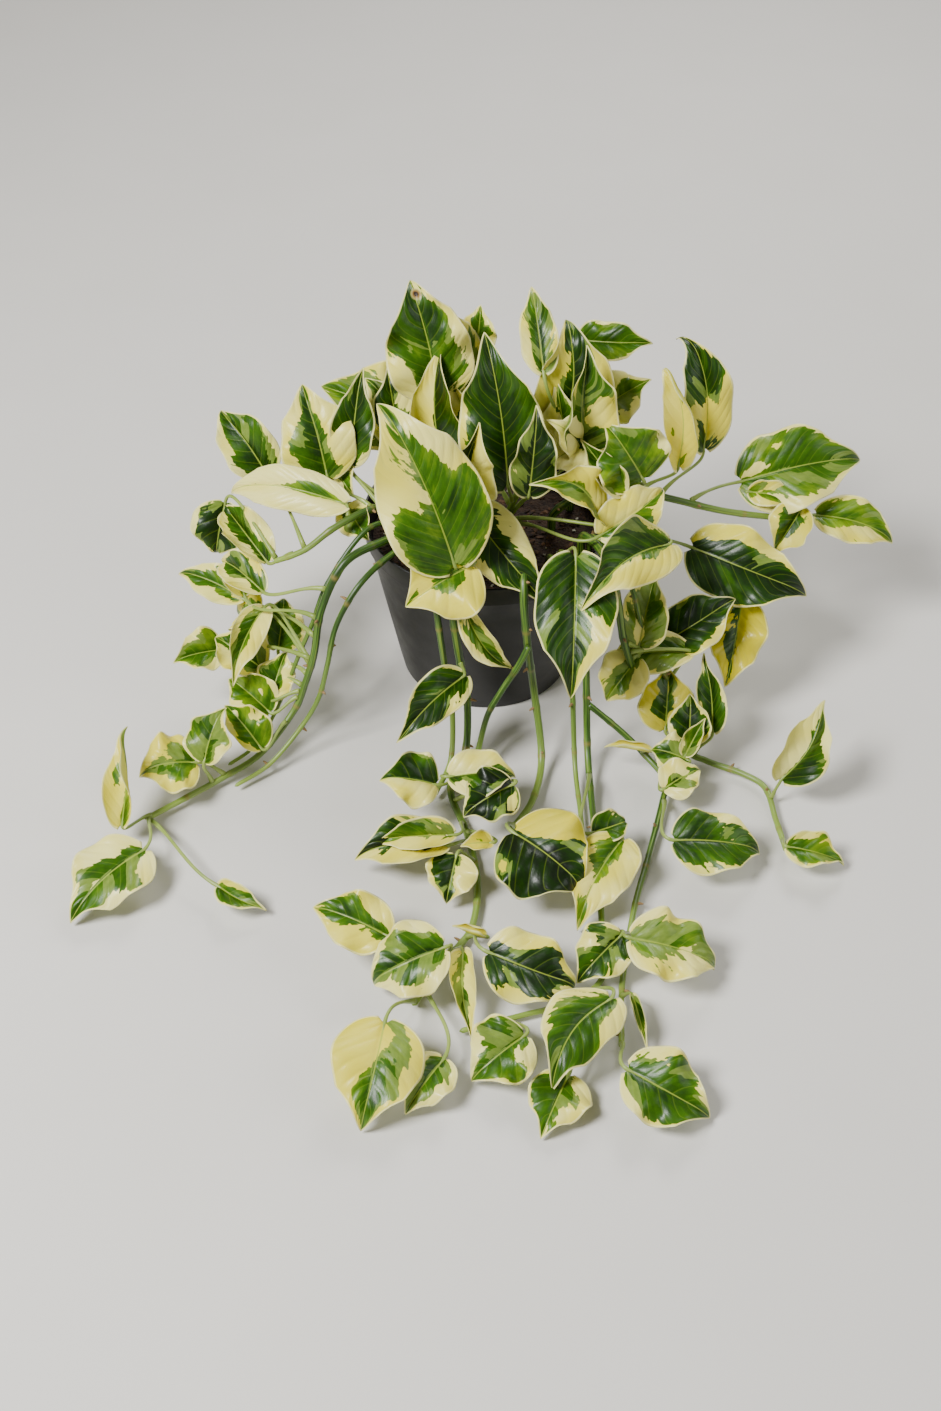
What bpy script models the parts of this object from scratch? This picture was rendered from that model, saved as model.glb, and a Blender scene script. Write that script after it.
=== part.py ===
"""A potted pothos: a plastic nursery pot, its potting mix, rooted stems and their leaves.

Metres, +Z up. The origin is the centre of the pot's foot, and -Y is the front.
Stems grow out of the mix, arch over the rim and lie along the surface that the pot stands on.
"""

import math

import bmesh
import bpy
from mathutils import Vector

MM = 0.001

# The pot
POT_HEIGHT = 0.115
RIM_RADIUS = 0.0755
FOOT_RADIUS = 0.054
POT_WALL = 0.0018
LIP_DEPTH = 0.013
LIP_STEP = 0.0022
LIP_EASE = 0.0004
RIM_ROUND = 0.0005
FLOOR_THICKNESS = 0.0025
DRAIN_RADIUS = 0.005
DRAIN_CIRCLE = 0.030
DRAIN_COUNT = 5
DRAIN_START = 0.3
DRAIN_SIDES = 16
DRAIN_CUT = 0.010
POT_SIDES = 40
SHARP_ANGLE = math.radians(50)

# The potting mix
MIX_BELOW_RIM = 0.015
MIX_CROWN = 0.003
MIX_RINGS = (0.85, 0.55, 0.25, 0)
MIX_SIDES = 20

# The plant
STEM_RADIUS = 0.0028
SHOOT_RADIUS = 0.0021
STALK_RADIUS = 0.0013
BLADE_THICKNESS = 0.0014
TOUCH_GAP = 0.0003

# The pot that the routes below were laid out around
DRAWN_HEIGHT = 0.115
DRAWN_RIM = 0.0755

BLACK_PLASTIC = ("black_polypropylene", (0.012, 0.012, 0.012), 0.55)
PEAT_MIX = ("peat_and_bark_mix", (0.028, 0.017, 0.011), 0.95)
GREEN_STEM = ("green_stem", (0.055, 0.105, 0.030), 0.45)
LEAF_GREEN = ("variegated_leaf", (0.30, 0.36, 0.13), 0.38)

# Each stem: its radius, then the points it runs through, in millimetres, from the mix to its tip.
# The first point's height is left to the mix.
STEMS = {
    "stem_left": (STEM_RADIUS, [
        (-48, -20, 0), (-48, -22, 113), (-64, -42, 123), (-84, -59, 121), (-98, -70, 95),
        (-103, -80, 70), (-109, -83, 50), (-117, -87, 30), (-137, -106, 12), (-158, -121, 7),
        (-176, -136, 7), (-200, -155, 7),
    ]),
    "stem_left_high": (STEM_RADIUS, [
        (-52, 0, 0), (-53, -2, 114), (-68, -22, 133), (-90, -36, 130), (-108, -42, 118),
        (-126, -40, 108),
    ]),
    "stem_front_left": (STEM_RADIUS, [
        (-22, -48, 0), (-22, -51, 115), (-22, -72, 127), (-21, -87, 116), (-18, -90, 88),
        (-15, -88, 62), (-12, -88, 40), (-13, -106, 14), (-22, -131, 6), (-12, -166, 5),
        (-6, -203, 5), (-10, -238, 5), (-26, -262, 5), (-40, -288, 5),
    ]),
    "stem_front_middle": (STEM_RADIUS, [
        (22, -46, 0), (22, -50, 115), (21, -72, 125), (21, -86, 112), (24, -90, 80),
        (28, -88, 48), (33, -110, 12), (27, -141, 8), (15, -164, 8),
    ]),
    "stem_front_right": (STEM_RADIUS, [
        (44, -38, 0), (44, -42, 115), (51, -70, 125), (54, -88, 112), (57, -90, 80),
        (59, -89, 58), (61, -112, 13), (63, -180, 5), (63, -245, 5), (61, -272, 5),
        (44, -288, 5), (18, -296, 5), (-14, -306, 5),
    ]),
    "stem_right": (STEM_RADIUS, [
        (57, -22, 0), (58, -25, 115), (69, -58, 125), (75, -80, 112), (81, -84, 80),
        (93, -84, 48), (119, -100, 12), (134, -107, 6), (155, -117, 5), (167, -129, 5),
        (170, -154, 5), (173, -178, 5),
    ]),
    "stem_upper_right": (STEM_RADIUS, [
        (40, 2, 0), (42, 2, 113), (62, 4, 126), (87, 6, 126), (112, 7, 119),
        (146, 9, 108), (179, 13, 100), (200, 15, 96),
    ]),
    "stem_crown_left": (STEM_RADIUS, [
        (-28, 12, 0), (-28, 13, 120), (-25, 17, 145), (-24, 19, 160),
    ]),
    "stem_crown_middle": (STEM_RADIUS, [
        (12, -10, 0), (12, -10, 115), (15, -13, 130), (20, -12, 142),
    ]),
    "stem_crown_right": (STEM_RADIUS, [
        (52, 22, 0), (53, 22, 120), (60, 22, 140), (70, 24, 152),
    ]),
}

# Side shoots: the stem each leaves and its place along it in route points, its radius, and the
# points it runs through after it has left the stem's skin.
SHOOTS = {
    "shoot_right": ("stem_front_right", 5.4, SHOOT_RADIUS, [
        (80, -98, 24), (94, -106, 13), (107, -125, 8), (104, -142, 7), (92, -187, 6),
        (82, -223, 6), (72, -275, 6), (69, -316, 6),
    ]),
}

# Each leaf: stem, place along it in route points, blade base, blade tip, width, roll, fold, arch.
# Places are in millimetres, roll and fold in degrees, and the arch is a share of the blade's length.
LEAVES = {
    # crown
    "crown_leaf_01": ("stem_crown_left", 2.0, (-29, 12, 190), (-46, 33, 258), 54, 5, 10, 0.06),
    "crown_leaf_02": ("stem_crown_middle", 2.2, (12, -24, 152), (-2, 6, 238), 54, 0, 12, 0.06),
    "crown_leaf_03": ("stem_crown_left", 2.2, (-20, 38, 170), (-35, 44, 240), 46, 0, 12, 0.06),
    "crown_leaf_04": ("stem_crown_left", 1.6, (-24, -14, 152), (-28, 14, 222), 44, 10, 14, 0.05),
    "crown_leaf_06": ("stem_crown_middle", 2.9, (24, -36, 154), (28, -22, 206), 30, -8, 16, 0.05),
    "crown_leaf_07": ("stem_crown_right", 1.2, (41, 4, 164), (44, 26, 240), 54, 5, 14, 0.08),
    "crown_leaf_08": ("stem_crown_right", 2.4, (57, 76, 188), (102, 70, 190), 28, 0, 18, 0.10),
    "crown_leaf_09": ("stem_crown_right", 1.5, (56, -9, 168), (57, -2, 232), 46, -15, 26, 0.05),
    "crown_leaf_11": ("stem_crown_right", 2.0, (91, -22, 155), (68, -16, 190), 50, 0, 8, 0.10),
    "crown_leaf_12": ("stem_crown_middle", 1.1, (66, -40, 138), (25, -44, 170), 32, -15, 22, 0.14),
    "crown_leaf_14": ("stem_upper_right", 3.3, (116, 14, 138), (103, 34, 204), 32, 8, 28, 0.06),
    "crown_leaf_15": ("stem_upper_right", 3.8, (133, 30, 140), (116, 56, 214), 35, -10, 22, 0.06),
    # left
    "left_leaf_01": ("stem_front_left", 1.9, (-19, -86, 142), (-62, -42, 228), 66, -6, 8, 0.08),
    "left_leaf_03": ("stem_left_high", 2.0, (-96, 0, 140), (-112, 32, 188), 48, 6, 12, 0.06),
    "left_leaf_04": ("stem_crown_left", 0.9, (-36, 44, 152), (-103, 50, 174), 58, 0, 14, 0.10),
    "left_leaf_05": ("stem_left_high", 4.0, (-133, 10, 134), (-165, 40, 164), 38, 10, 18, 0.10),
    "left_leaf_06": ("stem_left_high", 2.6, (-84, -24, 138), (-162, 8, 124), 30, 0, 16, 0.12),
    "left_leaf_08": ("stem_left", 3.6, (-134, -52, 94), (-166, -16, 90), 27, 5, 20, 0.12),
    "left_leaf_09": ("stem_left", 4.6, (-152, -20, 62), (-196, 0, 68), 25, 0, 14, 0.10),
    "left_leaf_13": ("stem_left", 9.0, (-174, -124, 22), (-208, -136, 24), 44, 0, 12, 0.12),
    "left_leaf_14": ("stem_left", 10.9, (-212, -170, 17), (-215, -124, 56), 28, 30, 24, 0.06),
    "left_leaf_15": ("stem_left", 11.0, (-196, -192, 20), (-234, -234, 7), 44, 0, 10, 0.10),
    # front
    "front_leaf_01": ("stem_front_left", 4.6, (-14, -96, 66), (-53, -136, 50), 30, 10, 16, 0.10),
    "front_leaf_02": ("stem_front_left", 7.4, (-30, -152, 32), (-64, -154, 40), 36, 0, 14, 0.12),
    "front_leaf_03": ("stem_front_left", 8.3, (14, -156, 36), (-16, -172, 26), 36, 0, 12, 0.12),
    "front_leaf_04": ("stem_front_left", 9.2, (-24, -192, 24), (-78, -196, 18), 34, 0, 16, 0.10),
    "front_leaf_05": ("stem_front_middle", 8.0, (14, -193, 36), (56, -226, 22), 64, 5, 6, 0.12),
    "front_leaf_06": ("stem_front_right", 7.4, (76, -188, 24), (48, -243, 11), 40, 0, 12, 0.10),
    "front_leaf_07": ("shoot_right", 6.4, (76, -264, 30), (127, -270, 12), 42, 5, 12, 0.12),
    "front_leaf_09": ("stem_front_right", 9.4, (63, -304, 30), (30, -352, 18), 40, -5, 8, 0.12),
    "front_leaf_10": ("stem_front_right", 9.6, (40, -338, 10), (25, -372, 6), 34, 0, 8, 0.10),
    "front_leaf_11": ("shoot_right", 8.0, (70, -341, 20), (113, -361, 7), 44, 0, 10, 0.12),
    "front_leaf_12": ("stem_front_right", 11.3, (18, -320, 20), (-11, -340, 8), 40, 0, 10, 0.12),
    "front_leaf_13": ("stem_front_left", 11.0, (0, -272, 28), (52, -284, 13), 44, 0, 10, 0.12),
    "front_leaf_14": ("stem_front_left", 11.8, (-24, -272, 32), (-66, -282, 13), 44, 0, 10, 0.12),
    "front_leaf_15": ("stem_front_left", 12.2, (-54, -262, 29), (-97, -242, 31), 36, 5, 12, 0.10),
    "front_leaf_16": ("stem_front_left", 13.0, (-54, -319, 30), (-66, -371, 8), 50, 0, 8, 0.12),
    # right
    "right_leaf_01": ("stem_upper_right", 4.4, (158, 26, 118), (237, 38, 128), 56, 0, 10, 0.10),
    "right_leaf_02": ("stem_upper_right", 7.0, (206, 18, 98), (258, 10, 82), 32, 0, 18, 0.12),
    "right_leaf_03": ("stem_right", 1.7, (126, -12, 96), (200, -34, 76), 52, 0, 12, 0.12),
    "right_leaf_04": ("stem_front_right", 1.4, (50, -76, 140), (47, -138, 84), 50, 0, 16, 0.08),
    "right_leaf_05": ("stem_right", 1.4, (106, -52, 130), (52, -112, 134), 42, -10, 14, 0.10),
    "right_leaf_06": ("stem_right", 4.4, (107, -66, 66), (151, -48, 88), 38, 0, 14, 0.12),
    "right_leaf_07": ("stem_right", 5.3, (157, -32, 70), (146, -72, 32), 38, 0, 14, 0.12),
    "right_leaf_08": ("stem_right", 9.4, (174, -136, 20), (198, -108, 60), 37, 5, 24, 0.08),
    "right_leaf_09": ("shoot_right", 4.0, (106, -188, 24), (160, -186, 12), 44, 0, 8, 0.12),
}

LEAF_STATIONS = (0.05, 0.18, 0.38, 0.60, 0.80, 0.94)
STALK_STATIONS = 4
LIGHT_LEAN_LOW = math.radians(15)
LIGHT_LEAN_HIGH = math.radians(45)
STEM_STEP = 0.011
STEM_FACETS = 1
NEARBY = 0.05

# The stalk's curve: where it lifts and how much, and where it starts to run in line with the
# blade, as shares of its reach. A stalk's or a shoot's foot is tilted, so it stands off the
# stem's skin by a share of its own radius.
STALK_LIFT_PLACE = 0.35
STALK_LIFT = 0.12
STALK_ENTRY = 0.30
STALK_FOOT = 0.6
SHOOT_FOOT = 0.8
STALK_SIDES = 8

# The blade's outline: its fullness, how blunt its base and tip are, and where the drip starts.
OUTLINE_FULLNESS = 2.52
BASE_BLUNTNESS = 0.48
TIP_BLUNTNESS = 0.96
DRIP_START = 0.66

# The blade's section: each point's place across, and its side of the middle of the thickness.
BLADE_SECTION = (
    (-1, 0), (-0.55, 0.5), (0, 0.5), (0.55, 0.5), (1, 0), (0.55, -0.5), (0, -0.5), (-0.55, -0.5),
)


def clear_scene():
    for old in list(bpy.data.objects):
        bpy.data.objects.remove(old, do_unlink=True)


def finish_of(look):
    """One Principled material for each look, shared by the pieces that have it."""
    name, colour, roughness = look
    found = bpy.data.materials.get(name)
    if found:
        return found
    made = bpy.data.materials.new(name)
    made.use_nodes = True
    shader = made.node_tree.nodes["Principled BSDF"]
    shader.inputs["Base Color"].default_value = (*colour, 1)
    shader.inputs["Roughness"].default_value = roughness
    shader.inputs["Metallic"].default_value = 0
    return made


def add_mesh(name, points, faces, look):
    mesh = bpy.data.meshes.new(name)
    mesh.from_pydata([tuple(point) for point in points], [], faces)
    mesh.materials.append(finish_of(look))
    shape = bmesh.new()
    shape.from_mesh(mesh)
    bmesh.ops.recalc_face_normals(shape, faces=shape.faces)
    shape.to_mesh(mesh)
    shape.free()
    mesh.shade_smooth()
    mesh.set_sharp_from_angle(angle=SHARP_ANGLE)
    piece = bpy.data.objects.new(name, mesh)
    bpy.context.scene.collection.objects.link(piece)
    return piece


def turned(profile, sides):
    """Points and faces of a closed outline of (radius, height) turned about Z.

    A point with no radius is one point on the axis.
    """
    points = []
    rings = []
    for radius, height in profile:
        if radius == 0:
            rings.append([len(points)] * sides)
            points.append(Vector((0, 0, height)))
            continue
        rings.append(list(range(len(points), len(points) + sides)))
        for turn in range(sides):
            angle = math.tau * turn / sides
            points.append(Vector((radius * math.cos(angle), radius * math.sin(angle), height)))
    faces = []
    for lower, upper in zip(rings, rings[1:]):
        for turn in range(sides):
            after = (turn + 1) % sides
            corners = [lower[turn], lower[after], upper[after], upper[turn]]
            faces.append(list(dict.fromkeys(corners)))
    return points, faces


def pot_radius(height):
    """The outer radius of the pot's tapered wall under its lip."""
    share = height / (POT_HEIGHT - LIP_DEPTH)
    return FOOT_RADIUS + (RIM_RADIUS - LIP_STEP - FOOT_RADIUS) * share


def build_pot():
    lip = POT_HEIGHT - LIP_DEPTH
    profile = [
        (0, 0),
        (FOOT_RADIUS, 0),
        (pot_radius(lip), lip),
        (RIM_RADIUS - LIP_EASE, lip),
        (RIM_RADIUS, POT_HEIGHT - POT_WALL),
        (RIM_RADIUS - RIM_ROUND, POT_HEIGHT),
        (RIM_RADIUS - POT_WALL, POT_HEIGHT),
        (RIM_RADIUS - POT_WALL - RIM_ROUND, POT_HEIGHT - POT_WALL),
        (pot_radius(lip) - POT_WALL, lip),
        (pot_radius(FLOOR_THICKNESS) - POT_WALL, FLOOR_THICKNESS),
        (0, FLOOR_THICKNESS),
    ]
    pot = add_mesh("nursery_pot", *turned(profile, POT_SIDES), BLACK_PLASTIC)
    for hole in range(DRAIN_COUNT):
        angle = math.tau * (hole + DRAIN_START) / DRAIN_COUNT
        outline = [(0, -DRAIN_CUT), (DRAIN_RADIUS, -DRAIN_CUT), (DRAIN_RADIUS, DRAIN_CUT), (0, DRAIN_CUT)]
        shape = turned(outline, DRAIN_SIDES)
        cutter = add_mesh(f"drain_cutter_{hole + 1}", *shape, BLACK_PLASTIC)
        cutter.location = (DRAIN_CIRCLE * math.cos(angle), DRAIN_CIRCLE * math.sin(angle), 0)
        cutter.hide_render = True
        cutter.display_type = "WIRE"
        cut = pot.modifiers.new(cutter.name, "BOOLEAN")
        cut.operation = "DIFFERENCE"
        cut.object = cutter


def build_mix():
    """The mix fills the pot to a low, uneven crown, a touching gap inside its wall."""
    inside = POT_WALL + TOUCH_GAP
    bottom = FLOOR_THICKNESS + TOUCH_GAP
    top = mix_top()
    edge = top - MIX_CROWN
    profile = [(0, bottom), (pot_radius(bottom) - inside, bottom), (pot_radius(edge) - inside, edge)]
    for share in MIX_RINGS:
        profile.append((share * (RIM_RADIUS - LIP_STEP - inside), top - MIX_CROWN * share**4))
    points, faces = turned(profile, MIX_SIDES)
    add_mesh("potting_mix", points, faces, PEAT_MIX)


def mix_top():
    return POT_HEIGHT - MIX_BELOW_RIM


def placed(spot):
    """A drawn place in millimetres, moved with the rim where the pot's size is changed."""
    point = Vector(spot) * MM
    out = Vector((point.x, point.y, 0))
    reach = out.length
    if reach < DRAWN_RIM:
        out = out * (RIM_RADIUS / DRAWN_RIM)
    else:
        out = out * ((reach + RIM_RADIUS - DRAWN_RIM) / reach)
    if point.z > DRAWN_HEIGHT - MIX_BELOW_RIM:
        out.z = point.z + POT_HEIGHT - DRAWN_HEIGHT
    else:
        # What lies on the surface, up to a stem's thickness, stays there.
        lying = STEM_RADIUS * 2
        rise = max(0, point.z - lying)
        out.z = point.z + rise * (POT_HEIGHT - DRAWN_HEIGHT) / (DRAWN_HEIGHT - lying)
    return out


def curve_point(route, place):
    """A point on the smooth curve through a route's points, at a place counted in points."""
    last = len(route) - 1
    index = min(int(place), last - 1)
    share = place - index
    before = route[max(index - 1, 0)]
    start = route[index]
    end = route[index + 1]
    after = route[min(index + 2, last)]
    bend = 2 * before - 5 * start + 4 * end - after
    swing = 3 * start - before - 3 * end + after
    return 0.5 * (2 * start + (end - before) * share + bend * share**2 + swing * share**3)


def stem_radius(name):
    return SHOOTS[name][2] if name in SHOOTS else STEMS[name][0]


def stem_route(name):
    """The points a stem runs through: it starts on the mix, or a shoot on its stem's skin."""
    if name in SHOOTS:
        stem, place, radius, spots = SHOOTS[name]
        route = [placed(spot) for spot in spots]
        route.insert(0, skin_point(stem, place, route[0], radius * SHOOT_FOOT))
        return route
    route = [placed(spot) for spot in STEMS[name][1]]
    route[0].z = mix_top() + TOUCH_GAP
    return route


def skin_point(stem, place, target, foot):
    """The place beside a stem, square to it and facing a target, where something grows from it."""
    route = stem_route(stem)
    node = curve_point(route, place)
    ahead = curve_point(route, min(place + NEARBY, len(route) - 1)) - curve_point(route, place - NEARBY)
    ahead.normalize()
    away = target - node
    square = (away - ahead * away.dot(ahead)).normalized()
    return node + square * (stem_radius(stem) + TOUCH_GAP + foot)


def smooth_points(route):
    points = []
    for index in range(len(route) - 1):
        span = (route[index + 1] - route[index]).length
        steps = max(1, round(span / STEM_STEP))
        for step in range(steps):
            points.append(curve_point(route, index + step / steps))
    points.append(route[-1])
    return points


def add_stem(name, radius, points):
    curve = bpy.data.curves.new(name, "CURVE")
    curve.dimensions = "3D"
    curve.bevel_depth = radius
    curve.bevel_resolution = STEM_FACETS
    curve.use_fill_caps = True
    curve.twist_mode = "MINIMUM"
    spline = curve.splines.new("POLY")
    spline.points.add(len(points) - 1)
    for slot, point in zip(spline.points, points):
        slot.co = (*point, 1)
    curve.materials.append(finish_of(GREEN_STEM))
    stem = bpy.data.objects.new(name, curve)
    bpy.context.scene.collection.objects.link(stem)
    return stem


def outline_width(share):
    """A pothos blade's width, as a share of its greatest, from its base to its drip tip."""
    plain = OUTLINE_FULLNESS * share**BASE_BLUNTNESS * (1 - share) ** TIP_BLUNTNESS
    drip = max(0, (share - DRIP_START) / (1 - DRIP_START))
    return plain * (1 - drip * (1 - drip))


def blade_axes(base, tip, roll):
    """The blade's length vector, its side and its facing direction, which leans to the light."""
    along = tip - base
    height = min(1, max(0, base.z / DRAWN_HEIGHT))
    lean = LIGHT_LEAN_LOW + (LIGHT_LEAN_HIGH - LIGHT_LEAN_LOW) * height
    light = Vector((0, -math.sin(lean), math.cos(lean)))
    forward = along.normalized()
    facing = (light - forward * light.dot(forward)).normalized()
    side = forward.cross(facing)
    turn = math.radians(roll)
    turned_side = side * math.cos(turn) + facing * math.sin(turn)
    turned_facing = facing * math.cos(turn) - side * math.sin(turn)
    return along, turned_side, turned_facing


def stalk_points(root, base, along):
    """A leaf stalk from the stem to the blade: it leaves the stem squarely and meets the blade."""
    reach = (base - root).length
    lift = root + (base - root) * STALK_LIFT_PLACE + Vector((0, 0, reach * STALK_LIFT))
    entry = base - along.normalized() * reach * STALK_ENTRY
    points = []
    for step in range(STALK_STATIONS):
        share = step / STALK_STATIONS
        rest = 1 - share
        points.append(
            root * rest**3 + lift * 3 * rest**2 * share + entry * 3 * rest * share**2 + base * share**3
        )
    return points


def build_leaf(name, row):
    stem, place, base_spot, tip_spot, width, roll, fold, arch = row
    base = placed(base_spot)
    tip = placed(tip_spot)
    along, side, facing = blade_axes(base, tip, roll)
    root = skin_point(stem, place, base, STALK_RADIUS * STALK_FOOT)
    stalk = stalk_points(root, base, along)
    loops = []
    for index, centre in enumerate(stalk):
        following = stalk[index + 1] if index + 1 < len(stalk) else base
        ahead = (following - centre).normalized()
        flat = (side - ahead * side.dot(ahead)).normalized()
        crown = flat.cross(ahead)
        loop = []
        for corner in range(STALK_SIDES):
            angle = math.pi - corner * math.tau / STALK_SIDES
            loop.append(centre + STALK_RADIUS * (flat * math.cos(angle) + crown * math.sin(angle)))
        loops.append(loop)
    half = width * MM / 2
    fold_angle = math.radians(fold)
    for share in LEAF_STATIONS:
        rise = 4 * arch * share * (1 - share)
        centre = base + along * share + facing * rise * along.length
        reach = half * outline_width(share)
        loop = []
        for across, lift in BLADE_SECTION:
            out = side * across * reach * math.cos(fold_angle)
            up = facing * (abs(across) * reach * math.sin(fold_angle) + lift * BLADE_THICKNESS)
            loop.append(centre + out + up)
        loops.append(loop)
    points = [point for loop in loops for point in loop]
    points.append(tip)
    faces = [list(range(STALK_SIDES))]
    for ring in range(len(loops) - 1):
        low = ring * STALK_SIDES
        high = low + STALK_SIDES
        for corner in range(STALK_SIDES):
            after = (corner + 1) % STALK_SIDES
            faces.append([low + corner, low + after, high + after, high + corner])
    last = (len(loops) - 1) * STALK_SIDES
    for corner in range(STALK_SIDES):
        faces.append([last + corner, last + (corner + 1) % STALK_SIDES, len(points) - 1])
    add_mesh(name, points, faces, LEAF_GREEN)


def build():
    clear_scene()
    build_pot()
    build_mix()
    for name in (*STEMS, *SHOOTS):
        add_stem(name, stem_radius(name), smooth_points(stem_route(name)))
    for name, row in LEAVES.items():
        build_leaf(name, row)


build()
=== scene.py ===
import math
import random

import bmesh
import bpy
from mathutils import Matrix, Vector, noise


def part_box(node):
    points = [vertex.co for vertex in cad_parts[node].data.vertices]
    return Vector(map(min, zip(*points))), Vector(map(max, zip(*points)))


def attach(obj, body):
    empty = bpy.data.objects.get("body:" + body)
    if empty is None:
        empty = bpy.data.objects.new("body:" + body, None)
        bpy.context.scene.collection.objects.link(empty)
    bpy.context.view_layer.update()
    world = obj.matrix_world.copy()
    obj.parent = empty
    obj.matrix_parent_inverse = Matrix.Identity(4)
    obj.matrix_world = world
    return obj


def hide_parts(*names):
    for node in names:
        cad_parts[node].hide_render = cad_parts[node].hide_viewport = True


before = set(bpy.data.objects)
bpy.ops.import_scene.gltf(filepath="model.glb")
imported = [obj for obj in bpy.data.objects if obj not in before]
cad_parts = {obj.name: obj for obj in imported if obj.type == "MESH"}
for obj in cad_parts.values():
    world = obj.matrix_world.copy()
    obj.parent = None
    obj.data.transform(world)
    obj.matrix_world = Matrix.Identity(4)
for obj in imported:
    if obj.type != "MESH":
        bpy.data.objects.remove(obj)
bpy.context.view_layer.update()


# ---------------------------------------------------------------------------------------------
# The studio: a pale seamless floor, three soft boxes and a camera that looks down on the plant.
# The floor is matte painted board, so it shows shadows softly and has no shine of its own.
# ---------------------------------------------------------------------------------------------

def linear(hex_colour):
    """An sRGB hex colour as a linear RGBA value."""
    channels = []
    for start in (1, 3, 5):
        level = int(hex_colour[start:start + 2], 16) / 255
        channels.append(level / 12.92 if level <= 0.04045 else ((level + 0.055) / 1.055) ** 2.4)
    return (*channels, 1)


def add_node(tree, kind, inputs=None, stops=(), **settings):
    """Adds a node with its settings and links.

    A ramp's stops are its two ends, then the rest. Inputs go by name or number: a node is
    linked by its first output in use, and a text is an sRGB hex colour.
    """
    node = tree.nodes.new(kind)
    for key, value in settings.items():
        setattr(node, key, value)
    for index, (position, colour) in enumerate(stops):
        ramp = node.color_ramp.elements
        stop = ramp[index] if index < 2 else ramp.new(position)
        stop.position, stop.color = position, linear(colour)
    for key, value in (inputs or {}).items():
        if isinstance(value, bpy.types.Node):
            value = next(output for output in value.outputs if output.enabled)
        if isinstance(value, bpy.types.NodeSocket):
            tree.links.new(value, node.inputs[key])
        else:
            node.inputs[key].default_value = linear(value) if isinstance(value, str) else value
    return node


def new_material(name):
    """An empty node material, and its tree."""
    material = bpy.data.materials.new(name)
    material.use_nodes = True
    material.node_tree.nodes.clear()
    return material, material.node_tree


FLOOR_REACH = 3.0
MOTTLE_SIZE = 0.1
floor_mesh = bpy.data.meshes.new("studio_floor")
floor_mesh.from_pydata(
    [(-FLOOR_REACH, -FLOOR_REACH, 0), (FLOOR_REACH, -FLOOR_REACH, 0),
     (FLOOR_REACH, FLOOR_REACH, 0), (-FLOOR_REACH, FLOOR_REACH, 0)],
    [], [(0, 1, 2, 3)])
floor = bpy.data.objects.new("studio_floor", floor_mesh)
bpy.context.scene.collection.objects.link(floor)
board, tree = new_material("matte_painted_board")
# Rolled matt paint: dead flat, in two warm greys so close that the mottle hardly shows.
speck = add_node(tree, "ShaderNodeTexNoise", {
    "Scale": 2 * FLOOR_REACH / MOTTLE_SIZE, "Detail": 3.0})
tint = add_node(tree, "ShaderNodeMix", {0: speck, 6: "#D9D6CF", 7: "#DEDBD5"}, data_type="RGBA")
paint = add_node(tree, "ShaderNodeBsdfPrincipled", {"Base Color": tint, "Roughness": 0.85})
add_node(tree, "ShaderNodeOutputMaterial", {"Surface": paint})
floor_mesh.materials.append(board)

world = bpy.data.worlds.new("studio_air")
bpy.context.scene.world = world
world.use_nodes = True
world.node_tree.nodes["Background"].inputs["Color"].default_value = linear("#F2EEE6")
world.node_tree.nodes["Background"].inputs["Strength"].default_value = 0.24

# Each soft box's place, the spot that it faces, its width in metres and its power in watts.
for name, place, aim, size, power in (
    ("key_box", (-0.85, -0.75, 1.35), (0, -0.1, 0.05), 0.55, 43),
    ("fill_box", (1.3, -0.5, 0.9), (0, -0.1, 0.05), 1.0, 6),
    ("back_box", (0.35, 1.1, 1.2), (0, 0, 0.1), 0.7, 14),
):
    lamp = bpy.data.lights.new(name, "AREA")
    lamp.shape = "DISK"
    lamp.size = size
    lamp.energy = power
    holder = bpy.data.objects.new(name, lamp)
    holder.location = place
    holder.rotation_euler = (Vector(aim) - Vector(place)).to_track_quat("-Z", "Y").to_euler()
    bpy.context.scene.collection.objects.link(holder)

camera = bpy.data.cameras.new("camera")
camera.lens = 45
camera.sensor_width = 36
camera.clip_end = 20
viewer = bpy.data.objects.new("camera", camera)
viewer.location = (-0.010, -0.863, 0.770)
viewer.rotation_euler = (math.radians(46.5), 0, 0)
bpy.context.scene.collection.objects.link(viewer)
bpy.context.scene.camera = viewer


# ---------------------------------------------------------------------------------------------
# The nursery pot: one thin moulding in black polypropylene with a rolled lip, faint draw
# lines down its taper and holes in its foot. It stands on its flat foot and nothing fixes it.
# ---------------------------------------------------------------------------------------------

pot_low, pot_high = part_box("nursery_pot")
POT_HEIGHT = pot_high[2]
RIM_RADIUS = (pot_high[0] - pot_low[0]) / 2
FOOT_RADIUS = 0.054
LIP_DEPTH = 0.013
LIP_STEP = 0.0022
POT_WALL = 0.0018
POT_FLOOR = 0.0025
POT_SIDES = 144
FOOT_ROUND = 0.0012
LIP_INSET = 0.0012
LIP_ROUND = 0.0008
WALL_HEIGHTS = (0.012, 0.035, 0.060, 0.085)
DRAIN_HOLES = 5
DRAIN_RADIUS = 0.005
DRAIN_REACH = 0.030
DRAIN_TURN = 0.3
DRAW_LINE_WIDTH = 0.0024
DRAW_LINE_LENGTH = 0.110
SCUFF_SIZE = 0.018


def new_piece(name, points, faces, materials, replaced=(), slot=None, slots=None):
    """Makes a mesh piece with outward faces, smooth shading and its materials, on the root."""
    mesh = bpy.data.meshes.new(name)
    mesh.from_pydata([tuple(point) for point in points], [], faces)
    for material in materials:
        mesh.materials.append(material)
    if slots:
        mesh.polygons.foreach_set("material_index", slots)
    mesh.shade_smooth()
    piece = bpy.data.objects.new(name, mesh)
    bpy.context.scene.collection.objects.link(piece)
    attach(piece, "root")
    for node in replaced:
        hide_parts(node)
    return piece


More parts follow.
